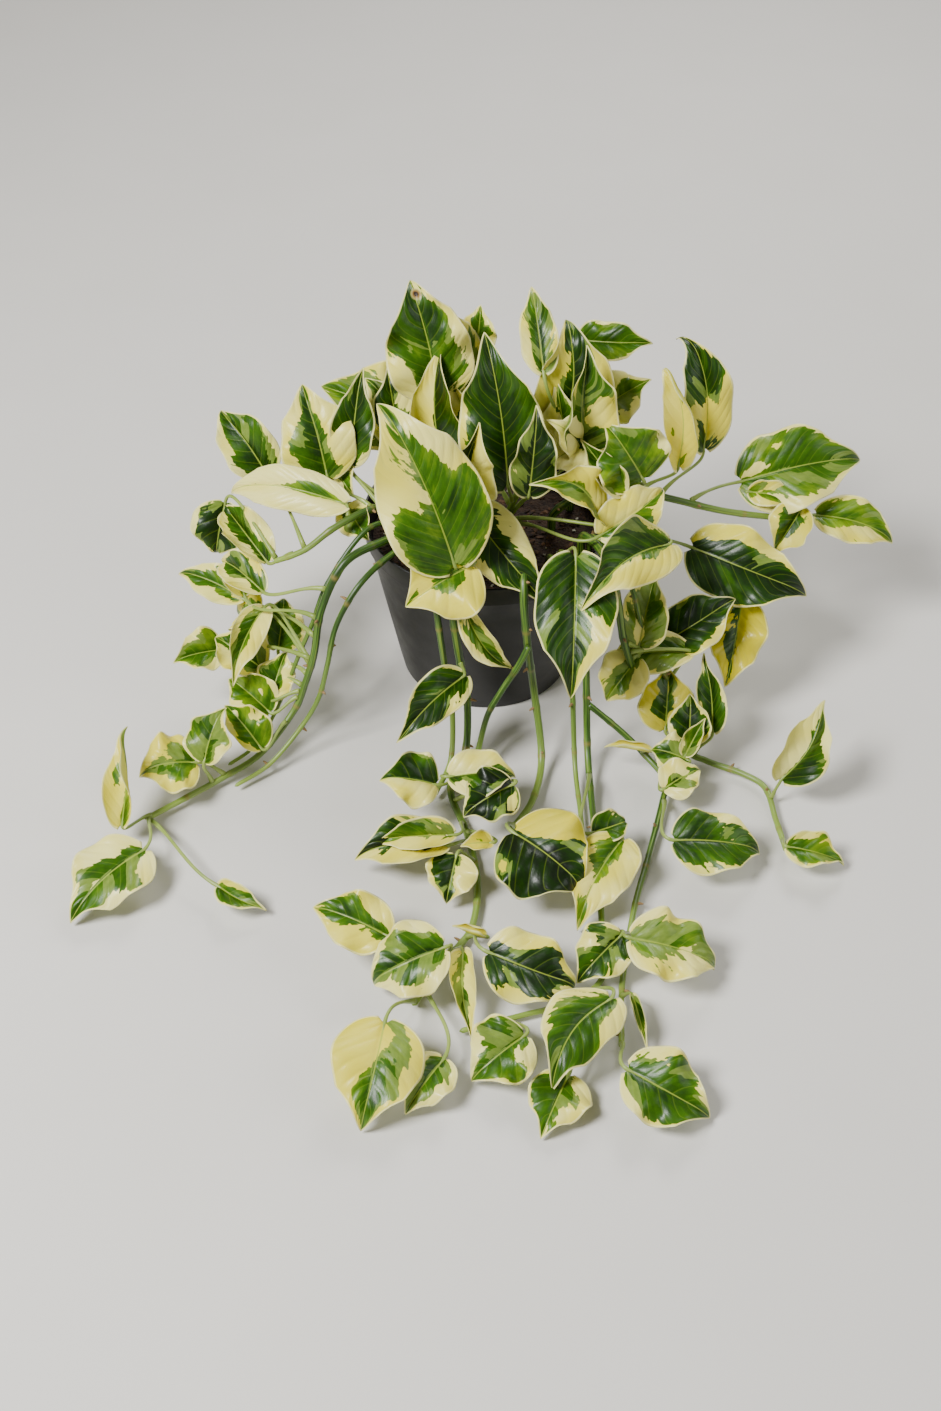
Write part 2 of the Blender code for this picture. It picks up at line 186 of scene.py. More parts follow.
def wall_radius(height):
    """The outer radius of the pot's tapered wall below its lip."""
    share = height / (POT_HEIGHT - LIP_DEPTH)
    return FOOT_RADIUS + (RIM_RADIUS - LIP_STEP - FOOT_RADIUS) * share


def turn_profile(profile, sides):
    """Turns an outline of (radius, height) about Z, from foot centre round to floor centre."""
    points = []
    rings = []
    for radius, height in profile:
        if radius == 0:
            rings.append([len(points)] * sides)
            points.append(Vector((0, 0, height)))
            continue
        rings.append(list(range(len(points), len(points) + sides)))
        for turn in range(sides):
            angle = math.tau * turn / sides
            points.append(Vector((radius * math.cos(angle), radius * math.sin(angle), height)))
    faces = []
    for low, high in zip(rings, rings[1:]):
        for turn in range(sides):
            after = (turn + 1) % sides
            faces.append(list(dict.fromkeys([low[turn], low[after], high[after], high[turn]])))
    return points, faces


def arc(centre, radius, start, end, steps):
    """Points on an arc, from one angle to another in degrees."""
    spots = []
    for step in range(steps + 1):
        angle = math.radians(start + (end - start) * step / steps)
        spots.append((centre[0] + radius * math.cos(angle), centre[1] + radius * math.sin(angle)))
    return spots


lip = POT_HEIGHT - LIP_DEPTH
roll = POT_WALL * 0.5
profile = [(0, 0), (FOOT_RADIUS * 0.5, 0)]
profile += arc((FOOT_RADIUS - FOOT_ROUND, FOOT_ROUND), FOOT_ROUND, -90, 0, 5)
profile += [(wall_radius(height), height) for height in (*WALL_HEIGHTS, lip - 0.001)]
profile += arc((RIM_RADIUS - LIP_INSET, lip + LIP_ROUND), LIP_ROUND, -90, 0, 4)
profile += arc((RIM_RADIUS - roll, POT_HEIGHT - roll), roll, 0, 180, 8)
profile += [(wall_radius(lip) - POT_WALL, lip), (wall_radius(POT_FLOOR) - POT_WALL, POT_FLOOR)]
profile += [(0, POT_FLOOR)]

plastic, tree = new_material("black_moulded_polypropylene")
# Moulded polypropylene: a soft satin black with faint draw lines down it, a little greyer in
# patches where handling has scuffed it.
spot = add_node(tree, "ShaderNodeTexCoord")
draw_lines = add_node(tree, "ShaderNodeMapping", {
    "Vector": spot.outputs["Object"],
    "Scale": (1 / DRAW_LINE_WIDTH, 1 / DRAW_LINE_WIDTH, 1 / DRAW_LINE_LENGTH)})
lines = add_node(tree, "ShaderNodeTexNoise", {"Vector": draw_lines, "Scale": 1.0, "Detail": 3.0})
dust = add_node(tree, "ShaderNodeTexNoise", {
    "Vector": spot.outputs["Object"], "Scale": 1 / SCUFF_SIZE, "Detail": 6.0,
    "Roughness": 0.65})
dust_share = add_node(tree, "ShaderNodeMapRange", {
    "Value": dust, "From Min": 0.45, "From Max": 0.8, "To Min": 0.0, "To Max": 0.55})
black = add_node(tree, "ShaderNodeMix", {
    0: dust_share, 6: "#0A0A0A", 7: "#1D1C1B"}, data_type="RGBA")
satin = add_node(tree, "ShaderNodeMapRange", {
    "Value": dust, "From Min": 0.3, "From Max": 0.7, "To Min": 0.36, "To Max": 0.54})
grain = add_node(tree, "ShaderNodeBump", {"Height": lines, "Strength": 0.12, "Distance": 0.0004})
moulding = add_node(tree, "ShaderNodeBsdfPrincipled", {
    "Base Color": black, "Roughness": satin, "Normal": grain, "IOR": 1.49})
add_node(tree, "ShaderNodeOutputMaterial", {"Surface": moulding})

pot = new_piece("moulded_pot", *turn_profile(profile, POT_SIDES), [plastic],
                replaced=("nursery_pot",), slot="pot")
for hole in range(DRAIN_HOLES):
    angle = math.tau * (hole + DRAIN_TURN) / DRAIN_HOLES
    drill_mesh = bpy.data.meshes.new("drain_drill")
    drill_shape = bmesh.new()
    bmesh.ops.create_cone(drill_shape, cap_ends=True, segments=32, radius1=DRAIN_RADIUS,
                          radius2=DRAIN_RADIUS, depth=0.02)
    drill_shape.to_mesh(drill_mesh)
    drill_shape.free()
    drill = bpy.data.objects.new("drain_drill", drill_mesh)
    drill.location = (DRAIN_REACH * math.cos(angle), DRAIN_REACH * math.sin(angle), 0)
    bpy.context.scene.collection.objects.link(drill)
    cut = pot.modifiers.new("drain", "BOOLEAN")
    cut.operation = "DIFFERENCE"
    cut.object = drill
    bpy.context.view_layer.update()
    graph = bpy.context.evaluated_depsgraph_get()
    drilled = bpy.data.meshes.new_from_object(pot.evaluated_get(graph))
    pot.modifiers.clear()
    pot.data = drilled
    bpy.data.objects.remove(drill)
pot.data.set_sharp_from_angle(angle=math.radians(40))


# ---------------------------------------------------------------------------------------------
# The potting mix: damp peat and fine bark with white perlite, pressed in to just below the
# lip. Its top is crumbly and uneven; loose bark chips and perlite grains lie on it.
# ---------------------------------------------------------------------------------------------

MIX_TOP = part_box("potting_mix")[1][2]
MIX_EDGE = MIX_TOP - 0.003
MIX_GAP = 0.0003
MIX_RADIUS = wall_radius(MIX_EDGE) - POT_WALL - MIX_GAP
MIX_DOME = 0.0022
MIX_SETTLING = 0.0010
CLUMP_HEIGHT = 0.0011
CLUMPS_PER_METRE = 90
CRUMB_HEIGHT = 0.0007
CRUMBS_PER_METRE = 420
MIX_RINGS = 46
MIX_SPOKES = 150
DAMP_PATCH_SIZE = 0.0059
DRY_CRUMB_SIZE = 0.0019


def mix_height(x, y):
    """The height of the mix's crumbly top, at most 3 mm above its edge."""
    share = math.hypot(x, y) / MIX_RADIUS
    clump = noise.fractal(Vector((x * CLUMPS_PER_METRE, y * CLUMPS_PER_METRE, 3.1)), 0.9, 2.1, 4)
    crumb = noise.noise(Vector((x * CRUMBS_PER_METRE, y * CRUMBS_PER_METRE, 8.7)))
    dome = MIX_DOME * (1 - share**4)
    return MIX_EDGE + dome - MIX_SETTLING + CLUMP_HEIGHT * clump + CRUMB_HEIGHT * crumb


points = [Vector((0, 0, mix_height(0, 0)))]
faces = []
for ring in range(1, MIX_RINGS + 1):
    radius = MIX_RADIUS * ring / MIX_RINGS
    for spoke in range(MIX_SPOKES):
        angle = math.tau * spoke / MIX_SPOKES
        x, y = radius * math.cos(angle), radius * math.sin(angle)
        points.append(Vector((x, y, mix_height(x, y))))
for spoke in range(MIX_SPOKES):
    after = (spoke + 1) % MIX_SPOKES
    faces.append((0, 1 + spoke, 1 + after))
    for ring in range(MIX_RINGS - 1):
        low = 1 + ring * MIX_SPOKES
        faces.append((low + spoke, low + MIX_SPOKES + spoke, low + MIX_SPOKES + after, low + after))
bottom = len(points)
BOTTOM_HEIGHT = POT_FLOOR + MIX_GAP
for spoke in range(MIX_SPOKES):
    angle = math.tau * spoke / MIX_SPOKES
    radius = wall_radius(BOTTOM_HEIGHT) - POT_WALL - MIX_GAP
    points.append(Vector((radius * math.cos(angle), radius * math.sin(angle), BOTTOM_HEIGHT)))
rim_start = 1 + (MIX_RINGS - 1) * MIX_SPOKES
for spoke in range(MIX_SPOKES):
    after = (spoke + 1) % MIX_SPOKES
    faces.append((rim_start + spoke, bottom + spoke, bottom + after, rim_start + after))
faces.append(tuple(range(bottom + MIX_SPOKES - 1, bottom - 1, -1)))

peat, tree = new_material("damp_peat_and_fine_bark")
# Damp peat: near black where it is wet, brown where crumbs have dried, with no shine.
spot = add_node(tree, "ShaderNodeTexCoord")
clumps = add_node(tree, "ShaderNodeTexNoise", {
    "Vector": spot.outputs["Object"], "Scale": 1 / DAMP_PATCH_SIZE, "Detail": 8.0,
    "Roughness": 0.7})
crumbs = add_node(tree, "ShaderNodeTexVoronoi", {
    "Vector": spot.outputs["Object"], "Scale": 1 / DRY_CRUMB_SIZE})
brown = add_node(tree, "ShaderNodeValToRGB", {"Fac": clumps}, stops=[
    (0.32, "#120C08"), (0.72, "#4E3524")])
bumps = add_node(tree, "ShaderNodeMath", {0: clumps, 1: crumbs}, operation="ADD")
crumbly = add_node(tree, "ShaderNodeBump", {"Height": bumps, "Strength": 0.9, "Distance": 0.0012})
soil = add_node(tree, "ShaderNodeBsdfPrincipled", {
    "Base Color": brown, "Roughness": 0.93, "Normal": crumbly})
add_node(tree, "ShaderNodeOutputMaterial", {"Surface": soil})
new_piece("peat_surface", points, faces, [peat], replaced=("potting_mix",), slot="mix")


LUMP_MARGIN = 0.004
LUMP_ROUGHNESS = 0.28
BARK_FIBRE_SIZE = 0.0042
FOAM_CELL_SIZE = 0.0007


def scatter_lumps(name, material, count, size_range, flatness, rise, seed):
    """Small rough lumps strewn over the mix, each turned its own way."""
    draw = random.Random(seed)
    all_points = []
    all_faces = []
    lump = bmesh.new()
    bmesh.ops.create_icosphere(lump, subdivisions=1, radius=1)
    corners = [vertex.co.copy() for vertex in lump.verts]
    sides = [[vertex.index for vertex in face.verts] for face in lump.faces]
    lump.free()
    for _ in range(count):
        reach = (MIX_RADIUS - LUMP_MARGIN) * math.sqrt(draw.random())
        angle = draw.uniform(0, math.tau)
        x, y = reach * math.cos(angle), reach * math.sin(angle)
        size = draw.uniform(*size_range)
        stretch = Vector((1, draw.uniform(0.45, 0.9), flatness * draw.uniform(0.7, 1.2)))
        spin = Matrix.Rotation(draw.uniform(0, math.tau), 3, "Z")
        spin = spin @ Matrix.Rotation(draw.uniform(-0.5, 0.5), 3, "X")
        start = len(all_points)
        for corner in corners:
            rough = corner * (1 + LUMP_ROUGHNESS * draw.uniform(-1, 1))
            rough = Vector((rough.x * stretch.x, rough.y * stretch.y, rough.z * stretch.z)) * size
            all_points.append(spin @ rough + Vector((x, y, mix_height(x, y) + size * rise)))
        all_faces += [[start + index for index in side] for side in sides]
    piece = new_piece(name, all_points, all_faces, [material], slot="mix")
    piece.data.set_sharp_from_angle(angle=math.radians(30))


bark, tree = new_material("composted_pine_bark")
# Bark fines: dull fibrous chips, each of its own brown.
spot = add_node(tree, "ShaderNodeTexCoord")
fibre = add_node(tree, "ShaderNodeTexNoise", {
    "Vector": spot.outputs["Object"], "Scale": 1 / BARK_FIBRE_SIZE, "Detail": 5.0})
chip = add_node(tree, "ShaderNodeValToRGB", {"Fac": fibre}, stops=[
    (0.35, "#24170F"), (0.70, "#6B4A30")])
fibrous = add_node(tree, "ShaderNodeBump", {"Height": fibre, "Strength": 0.6, "Distance": 0.0005})
dry_bark = add_node(tree, "ShaderNodeBsdfPrincipled", {
    "Base Color": chip, "Roughness": 0.9, "Normal": fibrous})
add_node(tree, "ShaderNodeOutputMaterial", {"Surface": dry_bark})
scatter_lumps("bark_chips", bark, count=420, size_range=(0.0009, 0.0030), flatness=0.4,
              rise=0.15, seed=11)

perlite, tree = new_material("expanded_perlite")
# Perlite: chalk-white foamed grains, dulled by the damp.
spot = add_node(tree, "ShaderNodeTexCoord")
foam = add_node(tree, "ShaderNodeTexVoronoi", {
    "Vector": spot.outputs["Object"], "Scale": 1 / FOAM_CELL_SIZE})
chalk = add_node(tree, "ShaderNodeMix", {0: foam, 6: "#DAD5C8", 7: "#A79F8E"}, data_type="RGBA")
grains = add_node(tree, "ShaderNodeBsdfPrincipled", {"Base Color": chalk, "Roughness": 0.85})
add_node(tree, "ShaderNodeOutputMaterial", {"Surface": grains})
scatter_lumps("perlite_grains", perlite, count=70, size_range=(0.0007, 0.0016), flatness=0.8,
              rise=0.3, seed=23)


# ---------------------------------------------------------------------------------------------
# The stems: green fleshy vines, 6 mm thick at the pot and thinner towards their tips, with a
# swollen ring at each leaf joint and pale streaks along them. They are rooted in the mix.
# ---------------------------------------------------------------------------------------------

MM = 0.001
STEM_SIDES = 14
STEM_STEP = 0.0022
# A live vine is a little thinner than its solid, and swells at each ring by the share below.
STEM_SLIMNESS = 0.93
RING_SPACING = 0.030
RING_START = 0.012
RING_SWELL = 0.13
RING_WIDTH = 0.0022
SCAR_OFFSET = 0.0012
SCAR_WIDTH = 0.0007
ROOTLESS_SHARE = 0.35
PEG_SIDES = 8
PEG_RADII = (0.0010, 0.0009, 0.0008, 0.0006, 0.0003)
LOW_JOINT = 0.012
FINE_STEPS = 40
SKIN_RADIUS = 0.0026
STREAK_WIDTH = 0.001
STREAK_LENGTH = 0.0455
CORK_SIZE = 0.0011

# How thick each vine is at the mix and at its tip, and the route that it was laid along, all
# in millimetres.
STEMS = {
    "stem_left": (2.8, 1.9, [
        (-48, -20, 99), (-48, -22, 113), (-64, -42, 123), (-84, -59, 121), (-98, -70, 95),
        (-103, -80, 70), (-109, -83, 50), (-117, -87, 30), (-137, -106, 12), (-158, -121, 7),
        (-176, -136, 7), (-200, -155, 7)]),
    "stem_left_high": (2.8, 1.8, [
        (-52, 0, 99), (-53, -2, 114), (-68, -22, 133), (-90, -36, 130), (-108, -42, 118),
        (-126, -40, 108)]),
    "stem_front_left": (2.8, 2.0, [
        (-22, -48, 99), (-22, -51, 115), (-22, -72, 127), (-21, -87, 116), (-18, -90, 88),
        (-15, -88, 62), (-12, -88, 40), (-13, -106, 14), (-22, -131, 6), (-12, -166, 5),
        (-6, -203, 5), (-10, -238, 5), (-26, -262, 5), (-40, -288, 5)]),
    "stem_front_middle": (2.8, 2.2, [
        (22, -46, 99), (22, -50, 115), (21, -72, 125), (21, -86, 112), (24, -90, 80),
        (28, -88, 48), (33, -110, 12), (27, -141, 8), (15, -164, 8)]),
    "stem_front_right": (2.8, 1.6, [
        (44, -38, 99), (44, -42, 115), (51, -70, 125), (54, -88, 112), (57, -90, 80),
        (59, -89, 58), (61, -112, 13), (63, -180, 5), (63, -245, 5), (61, -272, 5),
        (44, -288, 5), (18, -296, 5), (-14, -306, 5)]),
    "stem_right": (2.8, 1.8, [
        (57, -22, 99), (58, -25, 115), (69, -58, 125), (75, -80, 112), (81, -84, 80),
        (93, -84, 48), (119, -100, 12), (134, -107, 6), (155, -117, 5), (167, -129, 5),
        (170, -154, 5), (173, -178, 5)]),
    "stem_upper_right": (2.8, 2.0, [
        (40, 2, 99), (42, 2, 113), (62, 4, 126), (87, 6, 126), (112, 7, 119),
        (146, 9, 108), (179, 13, 100), (200, 15, 96)]),
    "stem_crown_left": (2.8, 2.2, [
        (-28, 12, 99), (-28, 13, 120), (-25, 17, 145), (-24, 19, 160)]),
    "stem_crown_middle": (2.8, 2.2, [
        (12, -10, 99), (12, -10, 115), (15, -13, 130), (20, -12, 142)]),
    "stem_crown_right": (2.8, 2.2, [
        (52, 22, 99), (53, 22, 120), (60, 22, 140), (70, 24, 152)]),
    "shoot_right": (2.1, 1.7, [
        (61, -94, 41), (80, -98, 24), (94, -106, 13), (107, -125, 8), (104, -142, 7),
        (92, -187, 6), (82, -223, 6), (72, -275, 6), (69, -316, 6)]),
}
# Thinner strands of the same vines, which run beside them.
STRANDS = {
    "strand_left": (2.2, 1.3, [
        (-44, -26, 99), (-45, -30, 113), (-60, -52, 119), (-76, -70, 112), (-89, -80, 91),
        (-95, -88, 67), (-101, -92, 45), (-112, -97, 26), (-131, -113, 10), (-150, -127, 6)]),
    "strand_left_inner": (1.9, 1.2, [
        (-46, -14, 99), (-48, -16, 116), (-70, -34, 128), (-94, -54, 104), (-104, -66, 82),
        (-113, -72, 62), (-121, -76, 42), (-131, -85, 22), (-143, -97, 8), (-156, -108, 5)]),
    "strand_front_left": (2.3, 1.7, [
        (-30, -44, 99), (-30, -47, 114), (-31, -72, 125), (-30, -87, 114), (-27, -92, 88),
        (-24, -92, 60), (-21, -94, 36), (-22, -112, 12), (-31, -134, 6)]),
    "strand_crossing": (2.2, 1.7, [
        (24, -94, 88), (18, -98, 76), (8, -101, 58), (0, -103, 40), (-5, -110, 20),
        (-9, -124, 7), (-12, -140, 6)]),
    "strand_front_right": (2.2, 1.5, [
        (36, -40, 99), (37, -44, 114), (42, -72, 124), (46, -89, 111), (49, -92, 80),
        (51, -93, 50), (53, -116, 12), (55, -150, 6), (56, -182, 6)]),
    "strand_right": (1.9, 1.3, [
        (62, -20, 99), (63, -24, 114), (74, -52, 122), (84, -70, 112), (92, -74, 84),
        (104, -76, 56), (122, -84, 26), (134, -92, 12)]),
}
ROUTES = {name: [Vector(spot) * MM for spot in row[2]]
          for name, row in [*STEMS.items(), *STRANDS.items()]}


def curve_point(route, place):
    """A point on the smooth curve through a route's points, at a place counted in points."""
    last = len(route) - 1
    index = min(int(place), last - 1)
    share = place - index
    before = route[max(index - 1, 0)]
    start = route[index]
    end = route[index + 1]
    after = route[min(index + 2, last)]
    pull = 2 * before - 5 * start + 4 * end - after
    swing = 3 * start - before - 3 * end + after
    return 0.5 * (2 * start + (end - before) * share + pull * share**2 + swing * share**3)


def even_points(route, step):
    """The smooth curve through a route, as points a set step apart."""
    fine = [curve_point(route, index / FINE_STEPS)
            for index in range(FINE_STEPS * (len(route) - 1))]
    fine.append(route[-1])
    total = sum((b - a).length for a, b in zip(fine, fine[1:]))
    count = max(4, round(total / step))
    wanted = [total * index / count for index in range(count + 1)]
    points = [fine[0]]
    walked = 0
    index = 0
    for goal in wanted[1:-1]:
        while walked + (fine[index + 1] - fine[index]).length < goal:
            walked += (fine[index + 1] - fine[index]).length
            index += 1
        span = fine[index + 1] - fine[index]
        points.append(fine[index] + span * ((goal - walked) / span.length))
    points.append(fine[-1])
    return points, total


def tube(centres, radii, sides, flat=1.0):
    """A closed tube along centres with its own radius at each, and where each point sits on it."""
    points = []
    faces = []
    places = []
    ahead = (centres[1] - centres[0]).normalized()
    side = ahead.orthogonal().normalized()
    walked = 0
    for index, centre in enumerate(centres):
        after = centres[min(index + 1, len(centres) - 1)]
        before = centres[max(index - 1, 0)]
        ahead = (after - before).normalized()
        side = (side - ahead * side.dot(ahead)).normalized()
        up = side.cross(ahead)
        if index:
            walked += (centre - centres[index - 1]).length
        for corner in range(sides):
            angle = math.tau * corner / sides
            out = side * math.cos(angle) + up * math.sin(angle) * flat
            points.append(centre + out * radii[index])
            places.append((math.cos(angle), math.sin(angle), walked))
    for ring in range(len(centres) - 1):
        for corner in range(sides):
            after = (corner + 1) % sides
            low = ring * sides
            faces.append((low + corner, low + sides + corner, low + sides + after, low + after))
    faces.append(tuple(range(sides)))
    end = (len(centres) - 1) * sides
    faces.append(tuple(range(end + sides - 1, end - 1, -1)))
    return points, faces, places


def store(mesh, name, values):
    """Keeps one vector for each of a mesh's points, for its material to read."""
    layer = mesh.attributes.new(name, "FLOAT_VECTOR", "POINT")
    layer.data.foreach_set("vector", [number for value in values for number in value])


skin, tree = new_material("green_vine_skin")
# Living stem skin: waxy and smooth, dark green with long pale streaks that run along it, paler
# towards the tip, and a tan ring at each joint where a leaf has grown.
place = add_node(tree, "ShaderNodeAttribute", attribute_name="along_stem")
tips = add_node(tree, "ShaderNodeAttribute", attribute_name="stem_age")
age = add_node(tree, "ShaderNodeSeparateXYZ", {"Vector": tips.outputs["Vector"]})
streak_scale = add_node(tree, "ShaderNodeMapping", {
    "Vector": place.outputs["Vector"],
    "Scale": (SKIN_RADIUS / STREAK_WIDTH, SKIN_RADIUS / STREAK_WIDTH, 1 / STREAK_LENGTH)})
streaks = add_node(tree, "ShaderNodeTexNoise", {
    "Vector": streak_scale, "Scale": 1.0, "Detail": 3.0, "Roughness": 0.55})
streak_colour = add_node(tree, "ShaderNodeValToRGB", {"Fac": streaks}, stops=[
    (0.40, "#24400C"), (0.66, "#7E9438"), (0.55, "#48701C")])
young = add_node(tree, "ShaderNodeMix", {
    0: age.outputs["X"], 6: streak_colour, 7: "#A2BC50"}, data_type="RGBA")
ringed = add_node(tree, "ShaderNodeMix", {
    0: age.outputs["Y"], 6: young, 7: "#8A7A3A"}, data_type="RGBA")
ribs = add_node(tree, "ShaderNodeBump", {"Height": streaks, "Strength": 0.35, "Distance": 0.0004})
waxy_stem = add_node(tree, "ShaderNodeBsdfPrincipled", {
    "Base Color": ringed, "Roughness": 0.42, "Coat Weight": 0.15, "Coat Roughness": 0.3,
    "Subsurface Weight": 0.08, "Subsurface Radius": (0.4, 0.9, 0.2),
    "Subsurface Scale": 0.0015, "Normal": ribs})
add_node(tree, "ShaderNodeOutputMaterial", {"Surface": waxy_stem})

root_points = []
root_faces = []
root_draw = random.Random(5)
for name, (thick, thin, _) in [*STEMS.items(), *STRANDS.items()]:
    centres, length = even_points(ROUTES[name], STEM_STEP)
    radii = []
    ages = []
    for index in range(len(centres)):
        share = index / (len(centres) - 1)
        walked = length * share
        joint = (walked + RING_START) % RING_SPACING
        near = min(joint, RING_SPACING - joint)
        swell = math.exp(-(near / RING_WIDTH) ** 2)
        radius = (thick + (thin - thick) * share) * MM * STEM_SLIMNESS
        radii.append(radius * (1 + RING_SWELL * swell))
        ring = math.exp(-((joint - SCAR_OFFSET) / SCAR_WIDTH) ** 2)
        ages.append((max(0, share - 0.45) * 1.3, 0.75 * ring, 0))
    # The tip is rounded off.
    end = centres[-1] - centres[-2]
    for step in (0.5, 0.8, 0.95):
        centres.append(centres[-1] + end * 0.3)
        radii.append(radii[-1] * math.sqrt(max(0.05, 1 - step**2)))
        ages.append((0.6, 0, 0))
    points, faces, places = tube(centres, radii, STEM_SIDES)
    vine_name = name.replace("stem_", "vine_").replace("shoot_", "side_shoot_")
    stem = new_piece(vine_name, points, faces, [skin], replaced=(name,) if name in STEMS else (),
                     slot="stem")
    store(stem.data, "along_stem", places)
    store(stem.data, "stem_age", [value for value in ages for _ in range(STEM_SIDES)])
    # Aerial roots: a brown peg at most joints, laid over where the vine is near the surface.
    joints = int((length + RING_START) / RING_SPACING)
    for joint in range(1, joints + 1):
        if root_draw.random() < ROOTLESS_SHARE:
            continue
        index = round((joint * RING_SPACING - RING_START) / STEM_STEP)
        index = min(len(centres) - 6, max(2, index))
        ahead = (centres[index + 1] - centres[index]).normalized()
        out = ahead.orthogonal().normalized()
        out = Matrix.Rotation(root_draw.uniform(0, math.tau), 3, ahead) @ out
        if centres[index].z < LOW_JOINT:
            out.z = abs(out.z) * 0.4
            out.normalize()
        reach = root_draw.uniform(0.002, 0.0045)
        start = centres[index] + out * radii[index] * 0.7
        pegs = [start + out * reach * step / 4 + ahead * 0.0006 * (step / 4) ** 2
                for step in range(len(PEG_RADII))]
        peg_points, peg_faces, _ = tube(pegs, PEG_RADII, PEG_SIDES)
        offset = len(root_points)
        root_points += peg_points
        root_faces += [[offset + corner for corner in face] for face in peg_faces]

corky, tree = new_material("corky_aerial_root")
# Aerial roots: dry, dull, corky pegs, tan to brown.
spot = add_node(tree, "ShaderNodeTexCoord")
cork = add_node(tree, "ShaderNodeTexNoise", {
    "Vector": spot.outputs["Object"], "Scale": 1 / CORK_SIZE, "Detail": 3.0})
tan = add_node(tree, "ShaderNodeMix", {0: cork, 6: "#6E5433", 7: "#A88A5A"}, data_type="RGBA")
dry_root = add_node(tree, "ShaderNodeBsdfPrincipled", {"Base Color": tan, "Roughness": 0.8})
add_node(tree, "ShaderNodeOutputMaterial", {"Surface": dry_root})
new_piece("aerial_roots", root_points, root_faces, [corky], slot="stem")


# ---------------------------------------------------------------------------------------------
# The leaves: waxy blades, cream at the edge with green that spreads out from the midrib in
# ragged tongues along the side veins. Each grows on its own stalk from a joint of a vine.
# ---------------------------------------------------------------------------------------------

BLADE_COLUMNS = 40
BLADE_ROWS = 66
BLADE_THICKNESS = 0.0005
MIDRIB_DEPTH = 0.0007
MIDRIB_WIDTH = 0.0016
GROOVE_DEPTH = 0.0006
GROOVE_WIDTH = 0.0012
VEIN_SPACING = 0.0082
PANEL_STEP = 0.008
VEIN_SLOPE = 0.30
VEIN_BOW = 1.15
QUILT_LEAST = 0.00015
QUILT_MOST = 0.00065
QUILT_SHARE = 0.0062
MARGIN_WAVER = 0.085
LOBE_REACH = 0.05
DRIP_START = 0.66
DRIP_LENGTH = 0.34
HOOK_START = 0.72
# A drawn blade folds and curls more than the angles of its row say, and folds up at its tip.
FOLD_GAIN = 1.25
TIP_FOLD = 0.45
CURL_GAIN = 1.4
# Blades near the surface face nearly straight up. Those of the crown lean towards the light.
LIGHT_LEAN_LOW = math.radians(15)
LIGHT_LEAN_HIGH = math.radians(45)
FULL_LEAN_HEIGHT = 0.115
# The least heights of a blade's top and underside and of a stalk above the surface.
TOP_REST = 0.0016
UNDERSIDE_REST = 0.0009
STALK_REST = 0.001
STALK_SIDES = 12
STALK_ROWS = 16
STALK_RADIUS = 0.0013
SPOT_REACH = 0.012
FLUSH_SIZE = 0.0167


